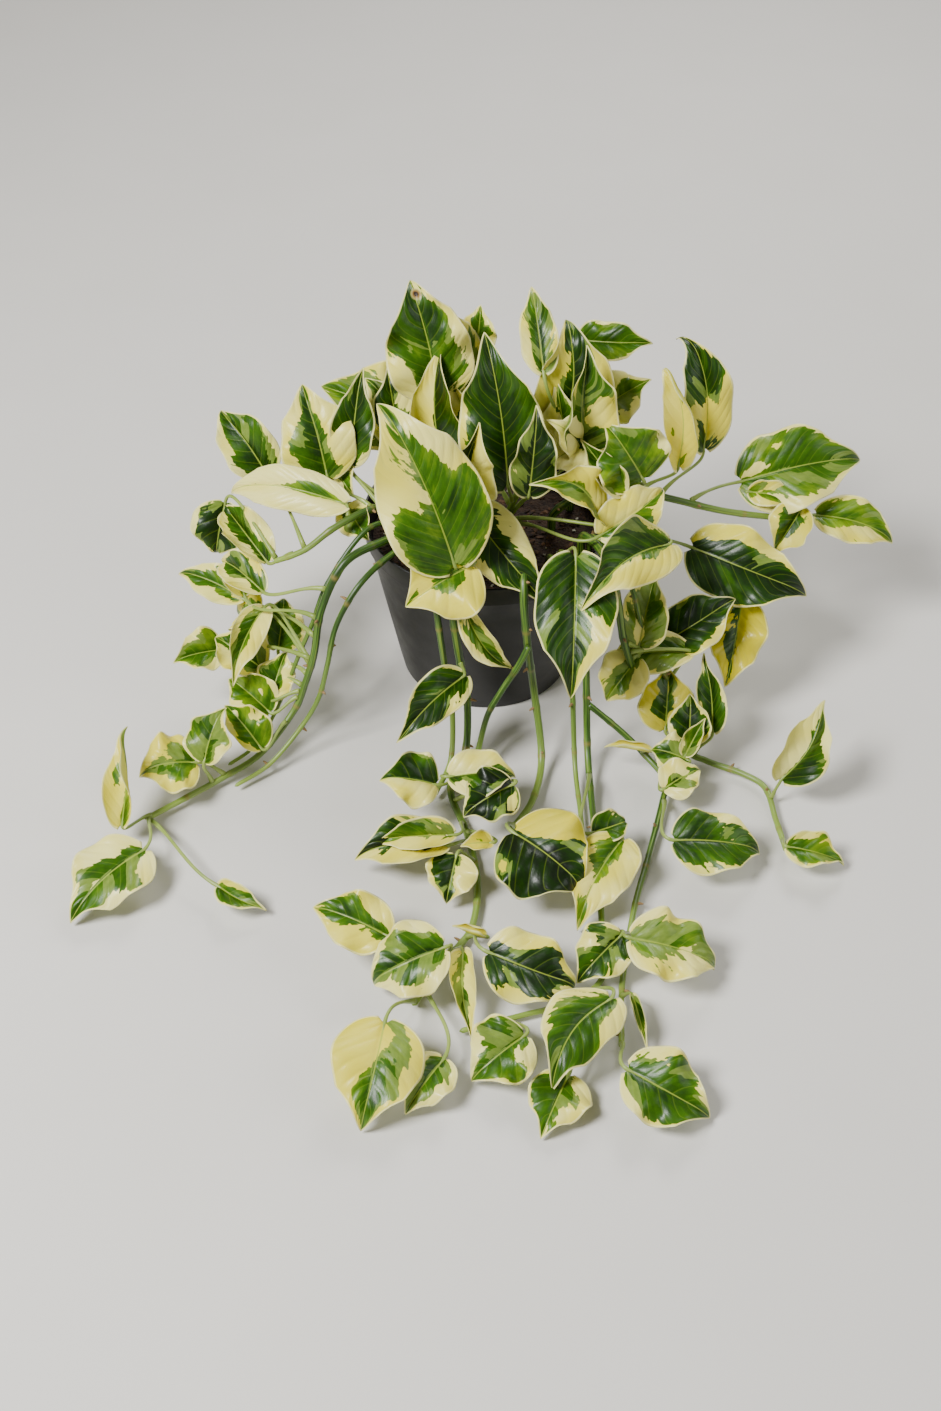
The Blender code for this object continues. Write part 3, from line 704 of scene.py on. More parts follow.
def variegated(name, under):
    """The blade's skin. The underside is paler and duller than the waxy top."""
    material, tree = new_material(name)
    spread, vein, growth, hue = (
        add_node(tree, "ShaderNodeAttribute", attribute_name=mark).outputs["Vector"]
        for mark in ("spread", "vein", "growth", "hue"))
    where, green, kind = (add_node(tree, "ShaderNodeSeparateXYZ", {"Vector": mark}).outputs
                          for mark in (vein, growth, hue))
    # The vein mark counts panels between side veins along the blade and steps of 8 mm across
    # it, so a scale of 2.4 draws teeth 3.4 mm wide. Each panel greens up by its own amount, so
    # the green ends in ragged steps along the veins.
    panel = add_node(tree, "ShaderNodeMath", {0: where["X"]}, operation="FLOOR")
    in_panel = add_node(tree, "ShaderNodeMath", {0: where["X"]}, operation="FRACT")
    step = add_node(tree, "ShaderNodeMapRange", {
        "Value": in_panel, "From Min": 0.30, "From Max": 0.72}, interpolation_type="SMOOTHSTEP")
    stepped = add_node(tree, "ShaderNodeMath", {0: panel, 1: step}, operation="ADD")
    stepped_far = add_node(tree, "ShaderNodeMath", {0: stepped, 1: 0.83}, operation="MULTIPLY")
    outward = add_node(tree, "ShaderNodeMath", {0: where["Y"], 1: 0.45}, operation="MULTIPLY")
    panel_place = add_node(tree, "ShaderNodeCombineXYZ", {
        "X": stepped_far, "Y": outward, "Z": where["Z"]})
    panels = add_node(tree, "ShaderNodeTexNoise", {
        "Vector": panel_place, "Scale": 1.0, "Detail": 0.0})
    panel_kind = add_node(tree, "ShaderNodeSeparateColor", {
        "Color": panels.outputs["Color"]}).outputs
    ragged_place = add_node(tree, "ShaderNodeMapping", {"Vector": vein, "Scale": (2.4, 2.6, 1.0)})
    ragged = add_node(tree, "ShaderNodeTexNoise", {
        "Vector": ragged_place, "Scale": 1.0, "Detail": 2.0, "Roughness": 0.5})
    blotches = add_node(tree, "ShaderNodeTexNoise", {"Vector": spread, "Scale": 1.1, "Detail": 0.0})
    # The field is over 0 where the blade is green: its own spread with the three unevennesses.
    parts = [add_node(tree, "ShaderNodeMapRange", {
        "Value": source, "From Min": 0.25, "From Max": 0.75, "To Min": -most, "To Max": most},
        clamp=False) for source, most in (
            (panel_kind["Red"], 0.24), (ragged, 0.13), (blotches, 0.40))]
    field = parts[0]
    for part in (*parts[1:], green["X"]):
        field = add_node(tree, "ShaderNodeMath", {0: field, 1: part}, operation="ADD")
    # Cream, from white to yellow.
    cream_noise = add_node(tree, "ShaderNodeMapRange", {
        "Value": blotches, "From Min": 0.35, "From Max": 0.65, "To Min": -0.16, "To Max": 0.16})
    yellow = add_node(tree, "ShaderNodeMath", {
        0: kind["X"], 1: cream_noise}, operation="ADD", use_clamp=True)
    cream = add_node(tree, "ShaderNodeValToRGB", {"Fac": yellow},
                     stops=[(0.0, "#F1EA8E"), (1.0, "#CFC010"), (0.45, "#E4D84C")])
    # Green, each panel its own: bright near the cream and deep where the green is widest.
    depth = add_node(tree, "ShaderNodeMapRange", {
        "Value": field, "From Min": 0.02, "From Max": 1.0, "To Min": -0.14, "To Max": 0.14})
    panel_shade = add_node(tree, "ShaderNodeMapRange", {
        "Value": panel_kind["Green"], "From Min": 0.3, "From Max": 0.7,
        "To Min": -0.09, "To Max": 0.09})
    mottle = add_node(tree, "ShaderNodeTexNoise", {
        "Vector": vein, "Scale": 1.7, "Detail": 4.0, "Roughness": 0.55})
    mottled = add_node(tree, "ShaderNodeMapRange", {
        "Value": mottle, "From Min": 0.3, "From Max": 0.7, "To Min": -0.09, "To Max": 0.09})
    deep = add_node(tree, "ShaderNodeMath", {0: kind["Y"], 1: depth}, operation="ADD")
    deeper = add_node(tree, "ShaderNodeMath", {0: panel_shade, 1: mottled}, operation="ADD")
    shade = add_node(tree, "ShaderNodeMath", {0: deep, 1: deeper}, operation="ADD", use_clamp=True)
    leaf_green = add_node(tree, "ShaderNodeValToRGB", {"Fac": shade}, stops=[
        (0.0, "#86A40E"), (1.0, "#081700"), (0.42, "#376000"), (0.72, "#163400")])
    # Grey-green panels, where the green lies under a clear outer layer.
    veil_edge = add_node(tree, "ShaderNodeMapRange", {
        "Value": panel_kind["Blue"], "From Min": 0.34, "From Max": 0.66,
        "To Min": -0.5, "To Max": 0.5}, clamp=False)
    veil_limit = add_node(tree, "ShaderNodeMath", {0: veil_edge, 1: kind["Z"]}, operation="ADD")
    veil_reach = add_node(tree, "ShaderNodeMath", {0: veil_limit, 1: -0.42}, operation="ADD")
    veiled = add_node(tree, "ShaderNodeMath", {0: field, 1: veil_reach}, operation="LESS_THAN")
    grey = add_node(tree, "ShaderNodeMix", {
        0: mottle, 6: "#8BA044", 7: "#436212"}, data_type="RGBA")
    inner = add_node(tree, "ShaderNodeMix", {0: veiled, 6: leaf_green, 7: grey}, data_type="RGBA")
    # The side veins are hair lines, a little paler than the green beside them.
    to_vein = add_node(tree, "ShaderNodeMath", {0: where["X"], 1: 0.5}, operation="PINGPONG")
    hair = add_node(tree, "ShaderNodeMapRange", {
        "Value": to_vein, "From Min": 0.01, "From Max": 0.06, "To Min": 0.20, "To Max": 0.0})
    veined = add_node(tree, "ShaderNodeMix", {0: hair, 6: inner, 7: "#86A02C"}, data_type="RGBA")
    is_green = add_node(tree, "ShaderNodeMapRange", {
        "Value": field, "From Min": -0.012, "From Max": 0.012, "To Min": 0.0, "To Max": 1.0})
    blade = add_node(tree, "ShaderNodeMix", {0: is_green, 6: cream, 7: veined}, data_type="RGBA")
    # The midrib, then the edge: each a fine pale line about 1 mm wide.
    for gap, near, far, most, tint in (
        (green["Y"], 0.0004, 0.0008, 0.7, "#A2B440"),
        (green["Z"], 0.0008, 0.0014, 0.9, "#F0EA9E"),
    ):
        line = add_node(tree, "ShaderNodeMapRange", {
            "Value": gap, "From Min": near, "From Max": far, "To Min": most, "To Max": 0.0})
        blade = add_node(tree, "ShaderNodeMix", {0: line, 6: blade, 7: tint}, data_type="RGBA")
    # A dead brown spot, 4 mm across in a pale ring of 8 mm, where a leaf has one.
    spot_reach = add_node(tree, "ShaderNodeAttribute", attribute_name="blemish")
    spot_gap = add_node(tree, "ShaderNodeSeparateXYZ", {
        "Vector": spot_reach.outputs["Vector"]}).outputs["X"]
    spotted = add_node(tree, "ShaderNodeValToRGB", {"Fac": spot_gap},
                       stops=[(0.10, "#2A1A0C"), (0.30, "#B9B36B"), (0.16, "#8A6A34")])
    is_spot = add_node(tree, "ShaderNodeMapRange", {
        "Value": spot_gap, "From Min": 0.24, "From Max": 0.33, "To Min": 1.0, "To Max": 0.0})
    final = add_node(tree, "ShaderNodeMix", {0: is_spot, 6: blade, 7: spotted}, data_type="RGBA")
    if under:
        final = add_node(tree, "ShaderNodeMix", {0: 0.35, 6: final, 7: "#9CAC50"},
                         data_type="RGBA")
    # The relief is a fine grain with a crease along each side vein.
    fine = add_node(tree, "ShaderNodeTexNoise", {"Vector": vein, "Scale": 5.0, "Detail": 4.0})
    crease = add_node(tree, "ShaderNodeMapRange", {
        "Value": to_vein, "From Min": 0.0, "From Max": 0.22, "To Min": 0.0, "To Max": 0.6},
        interpolation_type="SMOOTHSTEP")
    surface_height = add_node(tree, "ShaderNodeMath", {0: fine, 1: crease}, operation="ADD")
    relief = add_node(tree, "ShaderNodeBump", {
        "Height": surface_height, "Strength": 0.22, "Distance": 0.0008})
    gloss = add_node(tree, "ShaderNodeMapRange", {
        "Value": mottle, "From Min": 0.3, "From Max": 0.7,
        "To Min": 0.52 if under else 0.30, "To Max": 0.66 if under else 0.44})
    skin = add_node(tree, "ShaderNodeBsdfPrincipled", {
        "Base Color": final, "Roughness": gloss, "Specular IOR Level": 0.25,
        "Coat Weight": 0.0 if under else 0.10, "Coat Roughness": 0.16,
        "Subsurface Weight": 0.05, "Subsurface Radius": (0.6, 1.0, 0.3),
        "Subsurface Scale": 0.0012, "Normal": relief})
    add_node(tree, "ShaderNodeOutputMaterial", {"Surface": skin})
    return material


# The top is waxed: it shows a soft, broken highlight over the quilting between the veins.
waxed_top = variegated("waxy_leaf_top", under=False)
# The underside has no wax: paler, greyer and dull.
dull_underside = variegated("dull_leaf_underside", under=True)

stalk_skin, tree = new_material("pale_leaf_stalk")
# The stalks are smooth and juicy: pale yellow-green, with deeper flushes along them.
spot = add_node(tree, "ShaderNodeTexCoord")
flush = add_node(tree, "ShaderNodeTexNoise", {
    "Vector": spot.outputs["Object"], "Scale": 1 / FLUSH_SIZE, "Detail": 3.0})
stalk_tint = add_node(tree, "ShaderNodeMix", {
    0: flush, 6: "#64802A", 7: "#AABA5C"}, data_type="RGBA")
juicy = add_node(tree, "ShaderNodeBsdfPrincipled", {
    "Base Color": stalk_tint, "Roughness": 0.4, "Coat Weight": 0.15, "Coat Roughness": 0.3,
    "Subsurface Weight": 0.1, "Subsurface Radius": (0.6, 1.0, 0.3), "Subsurface Scale": 0.0015})
add_node(tree, "ShaderNodeOutputMaterial", {"Surface": juicy})


def outline_width(share):
    """A blade's width, as a share of its greatest, from its base to its drip tip."""
    # It is broadest a third of the way along, where the factor brings it to 1.
    plain = 2.52 * share**0.48 * (1 - share) ** 0.96
    drip = max(0, (share - DRIP_START) / DRIP_LENGTH)
    return plain * (1 - drip * (1 - drip))


def blade_axes(base, tip, roll):
    """The blade's length vector, its side and its facing direction, which leans to the light."""
    along = tip - base
    height = min(1, max(0, base.z / FULL_LEAN_HEIGHT))
    lean = LIGHT_LEAN_LOW + (LIGHT_LEAN_HIGH - LIGHT_LEAN_LOW) * height
    light = Vector((0, -math.sin(lean), math.cos(lean)))
    forward = along.normalized()
    facing = (light - forward * light.dot(forward)).normalized()
    side = forward.cross(facing)
    turn = math.radians(roll)
    return (along, side * math.cos(turn) + facing * math.sin(turn),
            facing * math.cos(turn) - side * math.sin(turn))


def smooth_step(low, high, value):
    """0 below the low value, 1 above the high one, and a smooth rise between them."""
    share = min(1, max(0, (value - low) / (high - low)))
    return share * share * (3 - 2 * share)


def bend(reach, angle, curl):
    """Where a strip ends that starts at an angle and curls on by another: (along, up)."""
    if abs(curl) < 0.001:
        return reach * math.cos(angle), reach * math.sin(angle)
    return (reach * (math.sin(angle + curl) - math.sin(angle)) / curl,
            reach * (math.cos(angle) - math.cos(angle + curl)) / curl)


def blade_faces():
    """The faces and material slots that all blades share: top, underside and edge strip."""
    columns = BLADE_COLUMNS + 1
    count = columns * (BLADE_ROWS + 1)
    faces = []
    slots = []
    for row in range(BLADE_ROWS):
        for column in range(BLADE_COLUMNS):
            low = row * columns + column
            faces.append((low, low + 1, low + columns + 1, low + columns))
            slots.append(0)
            low += count
            faces.append((low, low + columns, low + columns + 1, low + 1))
            slots.append(1)
    border = list(range(columns))
    border += [row * columns + BLADE_COLUMNS for row in range(1, BLADE_ROWS + 1)]
    border += [BLADE_ROWS * columns + column for column in range(BLADE_COLUMNS - 1, -1, -1)]
    border += [row * columns for row in range(BLADE_ROWS - 1, 0, -1)]
    for index, corner in enumerate(border):
        after = border[(index + 1) % len(border)]
        faces.append((corner, corner + count, after + count, after))
        slots.append(0)
    return faces, slots


def underside(top, half, facing):
    """The points of a blade's underside: thin at the edge and ridged under the midrib."""
    columns = BLADE_COLUMNS + 1
    points = []
    for index, point in enumerate(top):
        row, column = divmod(index, columns)
        right = index + (1 if column < BLADE_COLUMNS else 0)
        left = index - (1 if column else 0)
        ahead = index + (columns if row < BLADE_ROWS else 0)
        behind = index - (columns if row else 0)
        normal = (top[right] - top[left]).cross(top[ahead] - top[behind])
        normal = normal.normalized() if normal.length > 1e-12 else facing
        across = -1 + 2 * column / BLADE_COLUMNS
        thick = BLADE_THICKNESS * (1 - 0.75 * abs(across) ** 6)
        ridge = MIDRIB_DEPTH * math.exp(-(across * half / MIDRIB_WIDTH) ** 2)
        below = point - normal * (thick + ridge * (1 - row / BLADE_ROWS))
        below.z = max(below.z, UNDERSIDE_REST)
        points.append(below)
    return points


def grow_stalk(stem, place, base, forward, facing, inside):
    """A leaf's stalk leaves the vine squarely, arches over and runs into the midrib."""
    route = ROUTES[stem]
    joint = curve_point(route, place)
    before = curve_point(route, max(place - 0.05, 0))
    direction = (curve_point(route, min(place + 0.05, len(route) - 1)) - before).normalized()
    away = base - joint
    square = (away - direction * away.dot(direction)).normalized()
    root = joint + square * (STEMS[stem][0] * MM * 0.7)
    reach = (base - root).length
    lift = root + (base - root) * 0.35 + Vector((0, 0, reach * 0.12))
    entry = base - forward * reach * 0.3
    run = []
    for step in range(STALK_ROWS + 1):
        share = step / STALK_ROWS
        rest = 1 - share
        run.append(root * rest**3 + lift * 3 * rest**2 * share
                   + entry * 3 * rest * share**2 + (base - facing * 0.0006) * share**3)
    run.append((run[-1] + inside) / 2)
    run.append(inside)
    radii = [STALK_RADIUS * (1.35 - 0.55 * min(1, step / 5) + 0.12 * (step > STALK_ROWS - 2))
             for step in range(STALK_ROWS + 1)]
    radii += [STALK_RADIUS * 0.7, STALK_RADIUS * 0.35]
    points, faces, _ = tube(run, radii, STALK_SIDES, flat=0.9)
    for point in points:
        point.z = max(point.z, STALK_REST)
    return points, faces


BLADE_FACES, BLADE_SLOTS = blade_faces()


def grow_leaf(name, row, look, form=None, node=None, blemish=None):
    """One leaf: its stalk, and a blade with folded halves, quilting, a wavy edge and a bent tip.

    The row gives the vine that it grows on, the place along its route, the blade's base and tip
    and its width in millimetres, its roll and fold in degrees, and the height of its arch as a
    share of its length. The look gives the green's spread on the blade's left and right half,
    how yellow its cream is, how deep its green is, how much grey-green it has, and patches of
    (across, along, radius, more or less green). The form gives, in degrees, how far the left and
    the right edge curl up, the blade's twist and the hook of its tip, and then its sideways bow
    as a share of its length.
    """
    stem, place, base, tip, width, roll, fold, arch = row
    left_green, right_green, yellow, deep, grey, patches = look
    seed = (sum(ord(letter) * (index + 3) for index, letter in enumerate(name)) * 37) % 997
    draw = random.Random(seed)
    base = Vector(base) * MM
    tip = Vector(tip) * MM
    along, side, facing = blade_axes(base, tip, roll)
    length = along.length
    forward = along / length
    half = width * MM / 2
    fold_angle = math.radians(fold)
    drawn = (draw.uniform(-60, 35), draw.uniform(-60, 35), draw.uniform(-30, 30),
             draw.uniform(20, 65), draw.uniform(-0.05, 0.05))
    form = form or drawn
    left_curl, right_curl, twist, hook = (
        math.radians(value * CURL_GAIN) for value in form[:4])
    sway = form[4]
    wave = width * MM * draw.uniform(0.07, 0.125)
    waves = draw.uniform(1.5, 2.6)
    phase = (draw.uniform(0, math.tau), draw.uniform(0, math.tau))
    uneven = (draw.uniform(0.94, 1.0), draw.uniform(0.94, 1.0))
    quilt_height = min(QUILT_MOST, QUILT_LEAST + width * MM * QUILT_SHARE)
    veins = length / VEIN_SPACING
    hook_reach = (1 - HOOK_START) * length

    def blade_point(across, share):
        """The point of the blade's top at a place across (-1 to 1) and along it (0 to 1)."""
        right = across > 0
        spread = abs(across)
        margin = 1 + MARGIN_WAVER * noise.noise(Vector((share * 5, 9.1 * right, seed * 0.7)))
        reach = half * outline_width(share) * uneven[right] * margin
        # Each half folds up from the midrib and curls on towards its edge.
        curl = right_curl if right else left_curl
        curl *= math.sin(math.pi * min(1, share + 0.12)) ** 0.7
        angle = fold_angle * FOLD_GAIN + TIP_FOLD * smooth_step(0.65, 1.0, share)
        out_reach, lift = bend(reach * spread, angle - curl * 0.25, curl * spread)
        # The midrib arches and sways, and the blade twists about it. Its lobes reach back past
        # the stalk, and its tip hooks down.
        rise = 4 * arch * share * (1 - share) * length
        turn = twist * (share - 0.25)
        out = side * math.cos(turn) + facing * math.sin(turn)
        up = facing * math.cos(turn) - side * math.sin(turn)
        lobe = LOBE_REACH * spread**1.5 * max(0, 1 - share) ** 6
        centre = base + along * (share - lobe) + facing * rise
        centre += side * sway * length * math.sin(math.pi * share)
        past = max(0, share - HOOK_START) / (1 - HOOK_START)
        if past and abs(hook) > 0.01:
            ahead, down = bend(hook_reach * past, 0, hook * past)
            centre += forward * (ahead - hook_reach * past) - facing * down
        # The edge is wavy, and the skin swells between its side veins and dips over the midrib.
        edge_wave = wave * spread**2 * math.sin(math.tau * waves * share + phase[right])
        edge_wave *= math.sin(math.pi * min(1, share * 1.12))
        vein_place = (share - VEIN_SLOPE * spread**VEIN_BOW) * veins
        quilt = quilt_height * (abs(math.sin(math.pi * vein_place)) ** 0.75 - 0.5)
        quilt *= smooth_step(0.03, 0.22, spread) * smooth_step(0.0, 0.22, 1 - spread)
        quilt *= smooth_step(0.0, 0.1, share) * smooth_step(0.0, 0.2, 1 - share)
        groove = -GROOVE_DEPTH * math.exp(-((across * reach) / GROOVE_WIDTH) ** 2) * (1 - share)
        point = centre + out * math.copysign(out_reach, across)
        return point + up * (lift + edge_wave + quilt + groove)

    top = []
    marks = {"spread": [], "vein": [], "growth": [], "hue": [], "blemish": []}
    # Each leaf takes its own part of the patterns.
    shift = seed * 1.37
    # Rows are closer together near the base and columns near the edge, where more is curved.
    for row_index in range(BLADE_ROWS + 1):
        share = 0.004 + 0.991 * (row_index / BLADE_ROWS) ** 1.2
        reach = half * outline_width(share)
        for column in range(BLADE_COLUMNS + 1):
            across = -1 + 2 * column / BLADE_COLUMNS
            across = math.copysign(abs(across) ** 0.85, across) if across else 0.0
            point = blade_point(across, share)
            point.z = max(point.z, TOP_REST)
            top.append(point)
            # The green runs out from the midrib, as far as its half and its patches let it.
            amount = smooth_step(-0.03, 0.03, across)
            green = left_green * (1 - amount) + right_green * amount
            for where, height, radius, change in patches:
                gap = math.hypot((across - where) * 0.8, (share - height) * 1.4)
                green += change * math.exp(-(gap / radius) ** 2)
            green -= abs(across)
            green -= 0.5 * smooth_step(0.90, 1.0, abs(across))
            spot_gap = 1.0
            if blemish:
                spot_gap = math.hypot((across - blemish[0]) * reach,
                                      (share - blemish[1]) * length) / SPOT_REACH
            marks["spread"].append((across * 1.1 + shift, share * 2.4, shift * 0.61))
            marks["vein"].append(((share - VEIN_SLOPE * abs(across) ** VEIN_BOW) * veins + 40,
                                  abs(across) * reach / PANEL_STEP + 7 * (across > 0), shift))
            marks["growth"].append((green, abs(across) * reach * (1 + 1.4 * share),
                                    (1 - abs(across)) * reach))
            marks["hue"].append((yellow, deep, grey))
            marks["blemish"].append((min(1.0, spot_gap), 0, 0))
    points = top + underside(top, half, facing)
    inside = blade_point(0, 0.10) - facing * (BLADE_THICKNESS + 0.0002)
    stalk, stalk_faces = grow_stalk(stem, place, base, forward, facing, inside)
    offset = len(points)
    faces = BLADE_FACES + [[offset + corner for corner in face] for face in stalk_faces]
    leaf = new_piece(name, points + stalk, faces, [waxed_top, dull_underside, stalk_skin],
                     replaced=(node,) if node else (), slot="leaf",
                     slots=BLADE_SLOTS + [2] * len(stalk_faces))
    for mark, values in marks.items():
        store(leaf.data, mark, values * 2 + [(0, 0, 0)] * len(stalk))


# ---------------------------------------------------------------------------------------------
# The crown: the oldest and largest leaves, which stand up from the middle of the pot and
# face the light. The youngest, still narrow and half rolled, stand between them.
# ---------------------------------------------------------------------------------------------

# In each group, the first leaves stand for the CAD model's leaves of the same numbers. The
# young leaves after them are too small for it, and are drawn here only.

# The oldest leaf has a dead spot: its place across and along the blade.
DEAD_SPOTS = {1: (0.12, 0.84)}

for number, row, look, form in (
    (1, ("stem_crown_left", 2, (-29, 12, 190), (-46, 33, 258), 54, 5, 10, 0.06),
     (1, 0.8, 0.3, 0.5, 0.5, [
         (-0.95, 0.22, 0.3, -1.5), (-0.3, 0.2, 0.2, 0.6), (-0.85, 0.66, 0.3, 0.9),
         (0.4, 0.62, 0.2, 0.8), (0.3, 0.92, 0.12, -0.8), (0.95, 0.66, 0.25, -0.5),
         (0.5, 0.3, 0.2, 0.6)]), (-15, -45, -10, 58, 0.03)),
    (2, ("stem_crown_middle", 2.2, (12, -24, 152), (-2, 6, 238), 54, 0, 12, 0.06),
     (1.3, 1.35, 0.45, 0.62, 0.05, [(-0.95, 0.2, 0.22, -1.5), (-0.95, 0.5, 0.15, -0.5)]),
     (-20, 20, 8, 35, 0.02)),
    (3, ("stem_crown_left", 2.2, (-20, 38, 170), (-35, 44, 240), 46, 0, 12, 0.06),
     (0.5, 0.9, 0.4, 0.55, 0.4, []), (-40, -60, 12, 70, 0.06)),
    (4, ("stem_crown_left", 1.6, (-24, -14, 152), (-28, 14, 222), 44, 10, 14, 0.05),
     (-0.35, 1.1, 0.35, 0.7, 0.2, []), (105, 30, 25, 30, -0.06)),
    (6, ("stem_crown_middle", 2.9, (24, -36, 154), (28, -22, 206), 30, -8, 16, 0.05),
     (1, 1.4, 0.3, 0.72, 0.9, [(0.6, 0.5, 0.5, 0.3)]), (10, -20, -6, 25, 0)),
    (7, ("stem_crown_right", 1.2, (41, 4, 164), (44, 26, 240), 54, 5, 14, 0.08),
     (0.1, 1.1, 0.45, 0.7, 0.4, [(0.95, 0.6, 0.3, -0.9), (-0.3, 0.85, 0.2, 0.6)]),
     (30, -40, -20, 75, 0.1)),
    (8, ("stem_crown_right", 2.4, (57, 76, 188), (102, 70, 190), 28, 0, 18, 0.1),
     (1.1, 1, 0.25, 0.42, 0.3, [(0, 1, 0.2, -1.2)]), (-40, -30, 0, 20, 0.04)),
    (9, ("stem_crown_right", 1.5, (56, -9, 168), (57, -2, 232), 46, -15, 26, 0.05),
     (1, 0.85, 0.5, 0.5, 0.75, [(0.55, 0.42, 0.18, -1)]), (45, -30, -12, 20, -0.05)),
    (11, ("stem_crown_right", 2, (91, -22, 155), (68, -16, 190), 50, 0, 8, 0.1),
     (1.25, 1.3, 0.2, 0.3, 0.2, [(-0.8, 0.9, 0.2, -0.5)]), (-15, -15, 0, 45, 0)),
    (12, ("stem_crown_middle", 1.1, (66, -40, 138), (25, -44, 170), 32, -15, 22, 0.14),
     (0.6, -0.3, 0.5, 0.4, 0.7, [(0.3, 0.25, 0.2, 0.5)]), (40, -40, 40, 50, 0.16)),
    (14, ("stem_upper_right", 3.3, (116, 14, 138), (103, 34, 204), 32, 8, 28, 0.06),
     (-0.3, -0.1, 0.5, 0.45, 0.3, [(-0.5, 0.35, 0.15, 0.9), (-0.3, 0.1, 0.15, 0.6)]),
     (45, 60, 55, 95, 0.1)),
    (15, ("stem_upper_right", 3.8, (133, 30, 140), (116, 56, 214), 35, -10, 22, 0.06),
     (1.1, 0.9, 0.5, 0.68, 0.2, [(0, 0.25, 0.28, -2), (0.7, 0.3, 0.3, -1.2), (0.9, 0.6, 0.2, 0.4)]),
     (-40, -50, 30, 90, 0.08)),
):
    grow_leaf(f"crown_blade_{number:02}", row, look, form, node=f"crown_leaf_{number:02}",
              blemish=DEAD_SPOTS.get(number))

for number, row, look, form in (
    (1, ("stem_crown_middle", 1.6, (-17, -42, 152), (-4, -38, 204), 44, -20, 30, 0.05),
     (1.2, -0.1, 0.35, 0.65, 0.4, []), (20, -20, 0, 25, -0.06)),
    (2, ("stem_crown_right", 2.9, (71, 34, 168), (97, 30, 190), 36, 0, 20, 0.08),
     (0.6, 0.7, 0.2, 0.4, 0.9, []), (-20, -40, 10, 30, 0)),
    (3, ("stem_crown_middle", 0.9, (66, -46, 132), (107, -18, 148), 34, 0, 20, 0.1),
     (-0.1, 0.6, 0.4, 0.5, 0.2, []), (-30, -40, 12, 40, 0.04)),
    (4, ("stem_front_left", 1.6, (-9, -81, 138), (-47, -99, 122), 56, 0, 14, 0.1),
     (0, 0.1, 0.6, 0.45, 0.2, [(0.3, 0.85, 0.2, 1), (0.7, 0.45, 0.2, 0.8)]),
     (-20, -30, 0, 5, 0.02)),
    (5, ("stem_front_left", 1.4, (-12, -36, 144), (36, -84, 108), 38, 0, 12, 0.14),
     (0.85, 0.85, 0.3, 0.7, 0.05, []), (-40, -35, 10, 40, 0.02)),
    (6, ("stem_crown_right", 1.8, (32, 3, 212), (25, 42, 248), 24, 0, 12, 0.06),
     (0.5, 0.8, 0.3, 0.6, 0.8, []), (-30, -30, 10, 30, 0)),
    (7, ("stem_crown_left", 2.4, (-10, 34, 172), (-2, 44, 220), 36, 0, 12, 0.06),
     (0.5, 0.6, 0.4, 0.5, 0.7, []), (-30, -40, 10, 50, 0)),
    (8, ("stem_crown_left", 1.3, (-52, 20, 148), (-60, 36, 196), 30, 0, 12, 0.06),
     (0.9, 0.8, 0.3, 0.75, 0.3, []), None),
    (10, ("stem_front_left", 1.2, (-16, -30, 146), (13, -50, 126), 26, 0, 16, 0.12),
     (0.9, 0.5, 0.3, 0.3, 0.15, []), (-40, -30, 0, 50, 0)),
    (11, ("stem_crown_middle", 1.3, (55, -6, 168), (36, -22, 196), 28, 0, 14, 0.1),
     (-0.4, -0.3, 0.1, 0.4, 0.2, []), (-40, -40, 0, 50, 0)),
    (12, ("stem_crown_right", 1.2, (78, -30, 150), (54, -14, 178), 24, 0, 28, 0.08),
     (0.7, 0.8, 0.15, 0.5, 0.8, []), (30, 30, 10, 20, 0)),
    (14, ("stem_crown_left", 2.8, (-8, 42, 204), (-4, 48, 230), 26, 0, 14, 0.08),
     (0.4, 0.6, 0.3, 0.5, 0.8, []), None),
    (15, ("stem_crown_middle", 1.9, (-8, 6, 158), (-22, 12, 200), 42, 10, 20, 0.08),
     (-0.1, 0.3, 0.35, 0.6, 0.4, [(0.3, 0.4, 0.2, 0.7)]), (-30, -30, 14, 50, 0.05)),
    (16, ("stem_crown_right", 1, (66, 2, 164), (32, -30, 168), 40, 0, 16, 0.1),
     (-0.1, -0.5, 0.15, 0.5, 0.2, [(-0.6, 0.3, 0.3, 0.8)]), (-40, -30, 20, 50, 0.05)),
    (17, ("stem_crown_left", 2, (-44, 24, 150), (-74, 40, 186), 40, 0, 14, 0.08),
     (0.4, 0.9, 0.25, 0.45, 0.8, []), (-25, -30, 10, 40, 0.03)),
    (18, ("stem_crown_right", 1.4, (50, 6, 152), (40, 2, 206), 36, 0, 18, 0.06),
     (-0.1, 0.9, 0.12, 0.6, 0.4, []), (-30, -30, 10, 40, -0.03)),
    (19, ("stem_crown_left", 1, (-30, 30, 144), (-62, 32, 168), 38, 0, 14, 0.08),
     (0.5, 0.6, 0.25, 0.4, 0.2, [(0, 0.5, 0.25, 0.6)]), (-30, -30, 10, 40, 0)),
):
    grow_leaf(f"crown_young_{number:02}", row, look, form)


# ---------------------------------------------------------------------------------------------
# The left side: leaves of the two vines that leave the pot on its left, small along the
# trailing length and larger near the pot.
# ---------------------------------------------------------------------------------------------

